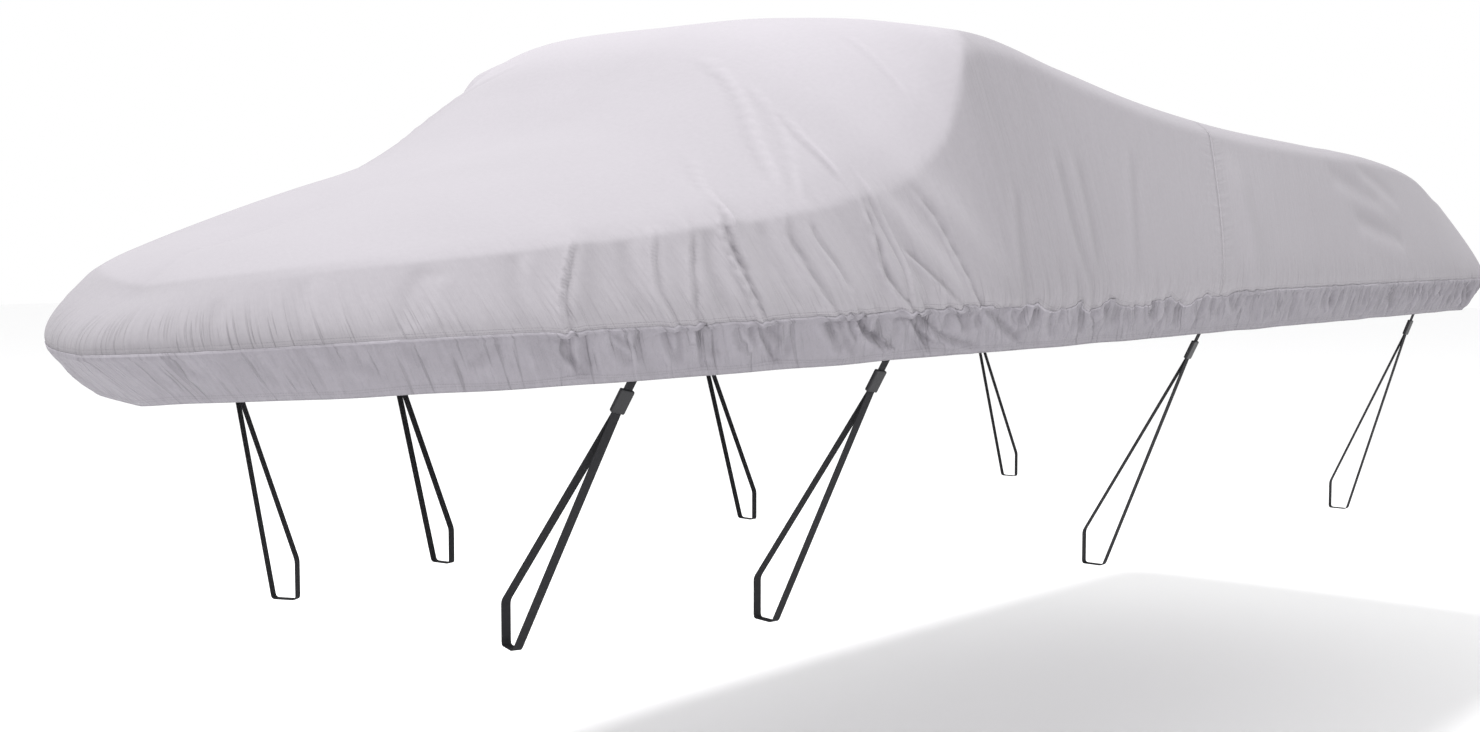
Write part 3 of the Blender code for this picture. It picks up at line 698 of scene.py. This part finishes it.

# %% [markdown]
# ## The lap at the gunwale seam
#
# The skirt's upper edge is sewn over the canopy's lower edge. Its turned edge stands out by the
# cloth's own thickness and catches the light as a thin line along the whole boat. A painted line would
# be flat from the side, so the lap is real: three rows of points that step up and over the canopy. It
# wavers where the gathers are strongest, and runs straight at the bow. Its top few millimetres are
# also painted lighter in the skirt's finish, a painted highlight.

# %% The skirt's lap
CLOTH = 0.0014
LAP, LAP_DROP, LAP_CLEAR = 0.004, 0.006, 0.0002
WAVER, WAVER_WAVES, WAVER_PHASE, WAVER_LOW = 0.0045, (0.045, 0.071, 0.113, 0.19), 5, -0.5
WAVER_FROM, WAVER_TO, WAVER_LOSS = (1.40, 1.60), (3.0, 3.3), 0.7

foot = canopy_net[:, 0]
rise = canopy_net[:, 1] - foot
rise /= np.linalg.norm(rise, axis=1, keepdims=True)
clear = outward_normals(canopy_net)[:, 0] * (CLOTH + LAP_CLEAR)
waver = sum(np.sin(2 * math.pi * RUNS / wave + WAVER_PHASE * wave) for wave in WAVER_WAVES) / 2
ragged = smooth_step(*WAVER_FROM, np.abs(RUNS))
ragged = ragged * (1 - WAVER_LOSS * smooth_step(*WAVER_TO, np.abs(RUNS)))
lap = (LAP + WAVER * ragged * np.maximum(waver, WAVER_LOW))[:, None]
lap_rows = [foot + rise * lap + clear, foot + clear, foot - rise * LAP_DROP + clear]
below = len(lap_rows)
skirt_net = np.concatenate([np.stack(lap_rows, 1), skirt_net[:, below:]], 1)
skirt_press = np.concatenate([skirt_press[:, :1]] * below + [skirt_press[:, below:]], 1)
print("the lap is %.1f to %.1f mm high" % (1000 * lap.min(), 1000 * lap.max()))

# %% [markdown]
# ## From a net to cloth
#
# A panel is a sheet of quads over its net. A Solidify modifier gives it a thickness of 1.4 mm,
# outwards, which shows at the hem and the lap.
#
# A UV map usually unwraps a shape onto a picture. Here it holds metres: the run along the gunwale, and
# the length of cloth up from the lower edge, so a stitch of 3.5 mm is 3.5 mm everywhere. A second map
# counts down from the upper edge. Two more values ride on each point: how hard the cloth is pressed
# in, and how upright it stands.

# %% Cloth from a net
PRESS_FULL = 0.006  # a ridge this high counts as 1, and a trough this deep as -1
MERGE_DISTANCE = 0.00002


def cloth(name, net, press, side, runs, finish):
    """A thin sheet whose inner face is the net."""
    ribs, rows = net.shape[:2]
    step = np.linalg.norm(np.diff(net, axis=1), axis=2)
    climb = np.concatenate([np.zeros((ribs, 1)), np.cumsum(step, axis=1)], 1)
    index = np.arange(ribs * rows).reshape(ribs, rows)
    corners = [index[:-1, :-1], index[1:, :-1], index[1:, 1:], index[:-1, 1:]]
    quads = np.stack(corners, 2).reshape(-1, 4)
    mesh = bpy.data.meshes.new(name)
    mesh.from_pydata((net - ORIGIN).reshape(-1, 3).tolist(), [], quads.tolist())
    for chart_name, up in (("metres", climb), ("from_top", climb[:, -1:] - climb)):
        chart = mesh.uv_layers.new(name=chart_name)
        pairs = np.stack([np.repeat(runs, rows), up.ravel()], 1)[quads.ravel()]
        chart.data.foreach_set("uv", pairs.ravel().astype(np.float32))
    # press and upright later paint light and shade into the canvas's colour
    for mark_name, values in (("press", press / PRESS_FULL), ("upright", side)):
        mark = mesh.attributes.new(mark_name, "FLOAT", "POINT")
        mark.data.foreach_set("value", values.ravel().astype(np.float32))
    shape = bmesh.new()
    shape.from_mesh(mesh)
    bmesh.ops.remove_doubles(shape, verts=shape.verts, dist=MERGE_DISTANCE)
    shape.to_mesh(mesh)
    shape.free()
    mesh.materials.append(finish)
    mesh.shade_smooth()
    sheet = link(bpy.data.objects.new(name, mesh))
    body = sheet.modifiers.new("body", "SOLIDIFY")
    body.thickness = CLOTH
    body.offset = -1.0
    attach(sheet, "root")
    return sheet


def flat_size(net):
    """Width and length a panel would be cut from, and its area, in metres."""
    width = np.linalg.norm(np.diff(net, axis=1), axis=2).sum(1).max()
    length = np.linalg.norm(np.diff(net, axis=0), axis=2).sum(0).max()
    a = net[1:, 1:] - net[:-1, :-1]
    b = net[1:, :-1] - net[:-1, 1:]
    area = np.linalg.norm(np.cross(a, b), axis=2).sum() / 2
    return width, length, area


print("the skirt is %.0f mm of cloth at its widest" % (1000 * flat_size(skirt_net)[0]))

# %% [markdown]
# ## Helpers for texture nodes
#
# All finishes are made of texture nodes, because a picture of cloth would blur up close and repeat
# over five metres. Node trees get long, so each helper adds one or two nodes and hands back their
# output. Heights add up in metres: a bump of 0.0003 is thread 0.3 mm thick.

# %% Sums, steps and noise
def math_node(tree, operation, first, second=0.0):
    """A math node's output, from two inputs that are values or other nodes' outputs."""
    made = tree.nodes.new("ShaderNodeMath")
    made.operation = operation
    for socket, value in zip(made.inputs, (first, second)):
        if isinstance(value, float):
            socket.default_value = value
        else:
            tree.links.new(value, socket)
    return made.outputs[0]


def times(tree, *factors):
    """The product of two or more factors."""
    product = factors[0]
    for factor in factors[1:]:
        product = math_node(tree, "MULTIPLY", product, factor)
    return product


def distance_node(tree, value, place):
    """How far a value is from a place, to either side."""
    return math_node(tree, "ABSOLUTE", math_node(tree, "SUBTRACT", value, place))


def span_node(tree, value, low, high, start=0.0, end=1.0):
    """A smooth step: start where the value is at or below low, and end at or above high."""
    made = tree.nodes.new("ShaderNodeMapRange")
    made.interpolation_type = "SMOOTHSTEP"
    set_sockets(made, {"From Min": low, "From Max": high, "To Min": start, "To Max": end})
    tree.links.new(value, made.inputs["Value"])
    return made.outputs["Result"]


def noise_node(tree, across, up, across_scale, up_scale, detail, seed):
    """Noise stretched over the cloth, from -0.5 to 0.5."""
    place = tree.nodes.new("ShaderNodeCombineXYZ")
    tree.links.new(times(tree, across, across_scale), place.inputs[0])
    tree.links.new(times(tree, up, up_scale), place.inputs[1])
    place.inputs[2].default_value = seed
    made = tree.nodes.new("ShaderNodeTexNoise")
    set_sockets(made, {"Scale": 1.0, "Detail": detail})
    tree.links.new(place.outputs[0], made.inputs["Vector"])
    return math_node(tree, "SUBTRACT", made.outputs["Fac"], 0.5)


def add_up(tree, outputs, factors):
    """The sum of the outputs that the factors name, each times its factor."""
    total = None
    for name, factor in factors.items():
        part = times(tree, outputs[name], factor)
        total = part if total is None else math_node(tree, "ADD", total, part)
    return total


print("node helpers: sums, products, distances, smooth steps and noise")

# %% Places on the cloth, weave and stitches
WEAVE = 5200.0
STITCHES_A_METRE, STITCH_ENDS = 200.0, (0.30, 0.40)
STITCH_CORE, STITCH_HALF = 0.6, 0.0007


def cloth_places(tree, chart_name="metres"):
    """The cloth's own coordinates: metres along the gunwale, and metres up the cloth."""
    chart = tree.nodes.new("ShaderNodeUVMap")
    chart.uv_map = chart_name
    parts = tree.nodes.new("ShaderNodeSeparateXYZ")
    tree.links.new(chart.outputs[0], parts.inputs[0])
    return parts.outputs[0], parts.outputs[1]


def mark_node(tree, name):
    """A value that rides on the cloth's points."""
    made = tree.nodes.new("ShaderNodeAttribute")
    made.attribute_name = name
    return made.outputs["Fac"]


def weave_node(tree, u, v):
    """A plain weave: one yarn up where the other goes down, 1.2 mm from yarn to like yarn."""
    yarns = [math_node(tree, "SINE", times(tree, place, WEAVE)) for place in (u, v)]
    return times(tree, *yarns)


def stitches(tree, distance, rows, along_row):
    """Rows of stitches at distances from an edge, about 3.5 mm long with gaps of 1.5 mm."""
    part = math_node(tree, "FRACT", times(tree, along_row, STITCHES_A_METRE))
    dash = span_node(tree, distance_node(tree, part, 0.5), *STITCH_ENDS, 1.0, 0.0)
    total = None
    for row in rows:
        off = distance_node(tree, distance, row)
        line = span_node(tree, off, STITCH_HALF * STITCH_CORE, STITCH_HALF, 1.0, 0.0)
        total = line if total is None else math_node(tree, "MAXIMUM", total, line)
    return times(tree, total, dash)


print("weave: %.1f mm from yarn to like yarn" % (2000 * math.pi / WEAVE))

# %% [markdown]
# ## Dressing a cloth's surface
#
# Coated canvas is dull, with a trace of sheen. Three things are joined to its surface: the summed
# heights as a bump, the tone as a mix of a darker and a lighter shade, and the thread, which is
# darker than the cloth. A bump only tilts the light, so it serves for what is finer than the net's
# ribs. The tone is partly the canvas's own uneven tone and partly painted light and shade: the noises
# that raise the cloth also paint it lighter, those that press it in paint it darker, and the creases
# pressed into the net paint their troughs darker and their ridges lighter.

# %% The cloth's surface
CANVAS = {"Roughness": 0.82, "Specular IOR Level": 0.22, "Sheen Weight": 0.06, "Sheen Roughness": 0.6}
# The last factor here is how much lighter the painted highlight on the lap's sewn edge is.
DARKER, LIGHTER, THREAD_SHADE, EDGE_HIGHLIGHT_FACTOR = 0.80, 1.20, 0.80, 1.42
# painted shade in the creases' troughs and painted light on their ridges
PRESS_LIGHT_AND_SHADE = 0.25


def shade_of(tone, factor):
    """A lighter or darker shade of a tone."""
    return tuple(min(c * factor, 1.0) for c in tone) + (1,)


def mix_node(tree, factor, under, over):
    """Two colours mixed: each is a value, or another node's output."""
    made = tree.nodes.new("ShaderNodeMix")
    made.data_type = "RGBA"
    tree.links.new(factor, made.inputs[0])
    for socket, colour in ((made.inputs[6], under), (made.inputs[7], over)):
        if isinstance(colour, tuple):
            socket.default_value = colour
        else:
            tree.links.new(colour, socket)
    return made.outputs[2]


def raise_surface(tree, surface, height):
    """Joins a height in metres to a surface, as its bump."""
    bump = tree.nodes.new("ShaderNodeBump")
    set_sockets(bump, {"Strength": 1.0, "Distance": 1.0})
    tree.links.new(height, bump.inputs["Height"])
    tree.links.new(bump.outputs["Normal"], surface.inputs["Normal"])


def dress(tree, surface, tone, outputs, heights, tones, edge=None):
    """Joins the heights, the tone with painted light and shade, and the thread to a cloth's surface.
    """
    set_sockets(surface, CANVAS)
    raise_surface(tree, surface, add_up(tree, outputs, heights))
    # the tone: the canvas's own uneven tone, plus painted light and shade that follow the bumps
    shade = add_up(tree, outputs, tones)
    # creases pressed into the net: painted shade in their troughs, painted light on their ridges
    shade = math_node(tree, "ADD", shade, times(tree, mark_node(tree, "press"), PRESS_LIGHT_AND_SHADE))
    shade = math_node(tree, "ADD", shade, 0.5)
    colour = mix_node(tree, shade, shade_of(tone, DARKER), shade_of(tone, LIGHTER))
    colour = mix_node(tree, outputs["thread"], colour, shade_of(tone, THREAD_SHADE))
    # a painted highlight, where the edge factor is given
    if edge is not None:
        colour = mix_node(tree, edge, colour, shade_of(tone, EDGE_HIGHLIGHT_FACTOR))
    tree.links.new(colour, surface.inputs["Base Color"])


print("the thread is %.0f%% as light as its cloth" % (100 * THREAD_SHADE))

# %% [markdown]
# ## The canopy's canvas
#
# A grey canvas. From the windscreen aft its top is painted lighter, as painted light, and its sides
# are painted darker at the nose and just aft of the windscreen, as painted shade. Strained cloth has
# fine streaks up the sides, a soft crumple all over, gathers and tucks above the seam, with painted
# shade in the tucks, and puckers beside the cross seam. None of them belongs everywhere, so zones hold
# the noises back. A zone is a smooth step along one measure: up the cloth, along the hull, away from
# the cross seam, or from lying to upright.
#
# The tables say how fine each noise is, where it is felt, how high it stands in metres, and how much
# lighter or darker it makes the cloth.

# %% Tables of the canopy's canvas
CANOPY_TONE = (0.317, 0.301, 0.324)
# waves a metre along and up the cloth, detail, seed
CANOPY_NOISE = {
    "streaks": (42.0, 3.2, 2.0, 1.0),
    "fine_streaks": (120.0, 7.0, 2.0, 4.0),
    "crumple": (7.0, 6.0, 3.0, 2.0),
    "gathers": (95.0, 7.0, 3.0, 3.0),
    "tucks": (170.0, 6.0, 1.0, 9.0),
    "seam_pucker": (9.0, 70.0, 2.0, 5.0),
    "clouds": (2.4, 2.4, 6.0, 6.0),
    "grain": (90.0, 90.0, 2.0, 7.0),
}
# the measure, where the step starts and ends, and its value there
CANOPY_ZONES = {
    "low": ("up", 0.01, 0.16, 1.0, 0.0),
    "lowest": ("up", 0.00, 0.12, 1.0, 0.0),
    "off_top": ("upright", 0.0, 1.0, 0.12, 1.0),
    "off_bow": ("hull", 0.6, 1.2, 0.3, 1.0),
    "off_stern": ("hull", 2.0, 2.7, 1.0, 0.35),
    "nose": ("hull", 0.20, 0.85, 1.0, 0.0),
    "past_windscreen": ("hull", 1.90, 2.08, 0.0, 1.0),
    "before_seam": ("hull", 2.15, 2.70, 1.0, 0.2),
    "aft_top": ("hull", 1.72, 1.95, 0.0, 1.0),
    "tucked_bow": ("hull", 0.30, 0.80, 1.0, 0.5),
    "near_seam": ("cross", 0.004, 0.10, 1.0, 0.0),
    "hem_fold": ("up", 0.012, 0.014, 1.0, 0.0),
    "seam_fold": ("cross", 0.012, 0.014, 1.0, 0.0),
}
CANOPY_HEIGHTS = {
    "streaks": 0.0046, "fine_streaks": 0.0010, "crumple": 0.0026, "gathers": 0.0040,
    "tucks": -0.0012, "seam_pucker": 0.0026, "thread": 0.0003, "weave": 0.00003,
    "hem_fold": 0.0004, "seam_fold": 0.0004,
}
# How much each noise tones the cloth. Clouds and grain are the canvas's own uneven tone; streaks,
# gathers, tucks and seam puckers are painted lighter where they raise the cloth and darker where they
# press it in, as painted light and shade; the nose, aft and top entries are painted shade and light.
CANOPY_SHADES = {
    "clouds": 0.20, "grain": 0.20, "streaks": 0.20, "gathers": 0.40, "tucks": -0.45,
    "painted_nose_shade": -0.30, "aft_shade": -0.24, "painted_top_light": 0.24, "seam_pucker": 0.45,
}
CANOPY_TUCKS = (0.07, 0.18)
EDGE_ROWS, CROSS_ROWS = (0.008, 0.013), (0.004, 0.011)
print("canopy: noises", len(CANOPY_NOISE), "zones", len(CANOPY_ZONES))

# %% The canopy's finish
canopy_canvas, tree, surface = new_finish("canopy_canvas")
u, v = cloth_places(tree)
upright = mark_node(tree, "upright")
along_hull = math_node(tree, "ABSOLUTE", u)
from_seam = math_node(tree, "MINIMUM", distance_node(tree, along_hull, CROSS_SEAM_RUN),
                      distance_node(tree, u, 2 * HALF_RUN - CROSS_SEAM_RUN))
measures = {"up": v, "hull": along_hull, "cross": from_seam, "upright": upright}
zone = {name: span_node(tree, measures[which], *step)
        for name, (which, *step) in CANOPY_ZONES.items()}
made = {name: noise_node(tree, u, v, *numbers) for name, numbers in CANOPY_NOISE.items()}
side_only = times(tree, zone["off_top"], zone["off_bow"], zone["off_stern"])
for name, where in (("streaks", side_only), ("fine_streaks", side_only),
                    ("gathers", zone["low"]), ("seam_pucker", zone["near_seam"])):
    made[name] = times(tree, made[name], where)
made["tucks"] = times(tree, span_node(tree, made["tucks"], *CANOPY_TUCKS),
                      times(tree, zone["lowest"], zone["tucked_bow"]))
# painted shade: the sides darker towards the nose
made["painted_nose_shade"] = times(tree, upright, zone["nose"])
# painted shade: the sides darker just aft of the windscreen
made["aft_shade"] = times(tree, upright, times(tree, zone["past_windscreen"], zone["before_seam"]))
# painted light: the top lighter from the windscreen aft
made["painted_top_light"] = times(tree, math_node(tree, "SUBTRACT", 1.0, upright), zone["aft_top"])
made["thread"] = math_node(tree, "MAXIMUM", stitches(tree, v, EDGE_ROWS, u),
                           stitches(tree, from_seam, CROSS_ROWS, v))
made["weave"] = weave_node(tree, u, v)
made["hem_fold"], made["seam_fold"] = zone["hem_fold"], zone["seam_fold"]
dress(tree, surface, CANOPY_TONE, made, CANOPY_HEIGHTS, CANOPY_SHADES)
print("nodes in the canopy's finish:", len(tree.nodes))

# %% [markdown]
# ## The skirt's canvas
#
# The skirt is the same canvas in a darker tone: painted shade for where it turns in under the
# gunwale. The hem's cord gathers it, so its pleats are closer and deeper and its crumple is crushed.
# The pleats lean aft, and lean more towards the stern: their noise reads a place that slides along
# the hull with the distance from the upper edge, which slants it. The sewn edge of the lap is painted
# lighter, a painted highlight.

# %% Tables of the skirt's canvas
# a darker copy of the canopy's tone: painted shade under the gunwale
SKIRT_TONE = (0.250, 0.237, 0.262)
SKIRT_LEAN = (0.3, 2.5, 0.3, 0.75)
# waves a metre along and up the cloth, detail, seed
LEANING_NOISE = {
    "tucks": (105.0, 5.0, 1.0, 15.0),
    "pleats": (34.0, 3.0, 2.0, 11.0),
    "fine_pleats": (100.0, 6.0, 3.0, 12.0),
}
SKIRT_NOISE = {
    "crush": (26.0, 22.0, 4.0, 13.0),
    "clouds": (9.0, 9.0, 5.0, 14.0),
    "edge_highlight_noise": (3.0, 0.0, 2.0, 8.0),
}
SKIRT_HEIGHTS = {
    "pleats": 0.0085, "fine_pleats": 0.0038, "tucks": -0.0012, "crush": 0.0085,
    "thread": 0.0003, "weave": 0.00003, "hem_fold": 0.0004,
}
# Clouds are the canvas's own uneven tone; pleats, fine pleats, tucks and crush paint the cloth lighter
# where they raise it and darker where they press it in, as painted light and shade.
SKIRT_SHADES = {"clouds": 0.4, "pleats": 0.5, "fine_pleats": 0.5, "tucks": -0.38, "crush": 0.35}
SKIRT_TUCKS, SKIRT_ROWS = (0.10, 0.22), (0.014, 0.020)
SKIRT_HEM_FOLD = (0.021, 0.023, 1.0, 0.0)
# where the painted highlight lies below the skirt's top edge, and how a noise breaks it up along it
BRIGHT_EDGE, EDGE_HIGHLIGHT_STRENGTH = (0.0030, 0.0060, 1.0, 0.0), (-0.12, 0.10, 0.25, 1.0)
print("skirt: noises", len(LEANING_NOISE) + len(SKIRT_NOISE))

# %% The skirt's finish
skirt_canvas, tree, surface = new_finish("skirt_canvas")
u, v = cloth_places(tree)
from_top = cloth_places(tree, "from_top")[1]
along_hull = math_node(tree, "ABSOLUTE", u)
slant = times(tree, from_top, span_node(tree, along_hull, *SKIRT_LEAN))
leaning = math_node(tree, "SUBTRACT", along_hull, slant)
made = {name: noise_node(tree, u, v, *numbers) for name, numbers in SKIRT_NOISE.items()}
for name, numbers in LEANING_NOISE.items():
    made[name] = noise_node(tree, leaning, v, *numbers)
made["tucks"] = span_node(tree, made["tucks"], *SKIRT_TUCKS)
made["thread"] = stitches(tree, v, SKIRT_ROWS, u)
made["weave"] = weave_node(tree, u, v)
made["hem_fold"] = span_node(tree, v, *SKIRT_HEM_FOLD)
# the painted highlight along the lap's sewn edge
edge = times(tree, span_node(tree, from_top, *BRIGHT_EDGE),
             span_node(tree, made["edge_highlight_noise"], *EDGE_HIGHLIGHT_STRENGTH))
dress(tree, surface, SKIRT_TONE, made, SKIRT_HEIGHTS, SKIRT_SHADES, edge)
print("nodes in the skirt's finish:", len(tree.nodes))

# %% [markdown]
# ## Webbing and buckles
#
# The straps, their tabs and the buckles are solids of the right shape already, so they only get a
# finish. Webbing is black, woven in fine ribs across the strap. The buckles are black moulded plastic,
# smoother and glossier. One helper makes both finishes, from ribs and a grain. Ribs 1.6 mm apart are a
# bump, because as faces they would be thousands for an outline that nobody sees.

# %% Webbing and buckles
BAND_GLOSS, BAND_GRAIN_HEIGHT, BAND_GRAIN_DETAIL = 0.35, 0.0003, 4.0
BAND_DARKER, BAND_LIGHTER = 0.7, 1.3
WEBBING = {"tone": (0.012, 0.012, 0.014), "rough": 0.85,
           "rib_pitch": 0.0016, "rib_height": 0.00012, "grain": 120.0}
MOULDING = {"tone": (0.016, 0.016, 0.018), "rough": 0.42,
            "rib_pitch": 0.0040, "rib_height": 0.00002, "grain": 300.0}


def band_finish(name, tone, rough, rib_pitch, rib_height, grain):
    """A dark finish with fine ribs across its length and a slightly uneven tone."""
    material, tree, surface = new_finish(name)
    set_sockets(surface, {"Roughness": rough, "Specular IOR Level": BAND_GLOSS})
    place = tree.nodes.new("ShaderNodeTexCoord")
    parts = tree.nodes.new("ShaderNodeSeparateXYZ")
    tree.links.new(place.outputs["Object"], parts.inputs[0])
    ribs = math_node(tree, "SINE", times(tree, parts.outputs[2], 2 * math.pi / rib_pitch))
    noise = tree.nodes.new("ShaderNodeTexNoise")
    set_sockets(noise, {"Scale": grain, "Detail": BAND_GRAIN_DETAIL})
    tree.links.new(place.outputs["Object"], noise.inputs["Vector"])
    raise_surface(tree, surface, add_up(tree, {"ribs": ribs, "grain": noise.outputs["Fac"]},
                                        {"ribs": rib_height, "grain": BAND_GRAIN_HEIGHT}))
    colour = tone_ramp(tree, noise.outputs["Fac"],
                       shade_of(tone, BAND_DARKER), shade_of(tone, BAND_LIGHTER))
    tree.links.new(colour, surface.inputs["Base Color"])
    return material


webbing = band_finish("strap_webbing", **WEBBING)
moulding = band_finish("buckle_moulding", **MOULDING)
dressed = 0
for thing in bpy.data.objects:
    if thing.type == "MESH" and thing.name.startswith(("strap_", "tab_", "buckle_")):
        for place in thing.material_slots:
            place.material = moulding if thing.name.startswith("buckle_") else webbing
            dressed += 1
print("webbing and buckle pieces finished:", dressed)

# %% [markdown]
# ## The three cloths
#
# A real cover is cut in panels. A cross seam behind the windscreen parts the canopy into a front and a
# rear panel, and the skirt is one long strip. Each takes its own ribs of the net. The rear panel goes
# round the transom, so its runs count on past the stern from starboard to port.
#
# "upright" is 1 on the sides and 0 on top. Its edge is a line of its own, where the top's painted
# light meets the sides' painted shade: the top reaches down over the crease under the windscreen's
# corner, and ends short of it at the bow. Each cloth then takes the place of its solid, and says what
# size it was cut to.

# %% Where the sides end
# The level, along the hull, where the top's painted light gives way to the sides' painted shade.
SIDE_EDGE = {
    "run": (0.00, 0.25, 0.50, 0.75, 1.50, 1.75, 1.88, 2.01, 2.07, 2.12, 2.20, 6.27),
    "level": (1.12, 1.09, 1.03, 1.00, 1.00, 0.99, 0.96, 0.92, 0.89, 0.98, 1.10, 1.10),
}
EDGE_SOFTNESS = 0.04

side_edge = along(SIDE_EDGE, "level", np.abs(RUNS))[:, None]
canopy_side = smooth_step(EDGE_SOFTNESS, -EDGE_SOFTNESS, CANOPY_LEVELS - side_edge)
print("share of the canopy's net that is side: %.2f" % canopy_side.mean())

# %% The panels
port_seam = int(np.argmin(np.abs(RUNS + CROSS_SEAM_RUN)))
starboard_seam = int(np.argmin(np.abs(RUNS - CROSS_SEAM_RUN)))
front_ribs = np.arange(port_seam, starboard_seam + 1)
rear_ribs = np.r_[starboard_seam:len(RUNS), 0:port_seam + 1]
rear_runs = np.concatenate([RUNS[starboard_seam:], RUNS[:port_seam + 1] + 2 * HALF_RUN])


def canopy_panel(name, ribs, runs):
    """One panel of the canopy, from its ribs of the net."""
    return cloth(name, canopy_net[ribs], canopy_press[ribs], canopy_side[ribs], runs,
                 canopy_canvas)


front = canopy_panel("canopy_front_cloth", front_ribs, RUNS[front_ribs])
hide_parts("canopy_front")
rear = canopy_panel("canopy_rear_cloth", rear_ribs, rear_runs)
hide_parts("canopy_rear")
skirt = cloth("skirt_cloth", skirt_net[:, ::-1], skirt_press[:, ::-1], np.ones(skirt_press.shape),
              RUNS, skirt_canvas)
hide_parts("skirt")
print("panels:", front.name, rear.name, skirt.name)

# %% The size each cloth was cut to
# A declared area is at least 0.3 of its rectangle, so a narrow curved strip is given a little more.
LEAST_SHARE = 0.31

panel_nets = ((front, canopy_net[front_ribs]), (rear, canopy_net[rear_ribs]), (skirt, skirt_net))
for piece, net in panel_nets:
    width, length, area = flat_size(net)
    print(piece.name, "width %.2f length %.2f area %.2f" % (width, length, area))
    share = max(LEAST_SHARE, min(1.0, area / (width * length)))
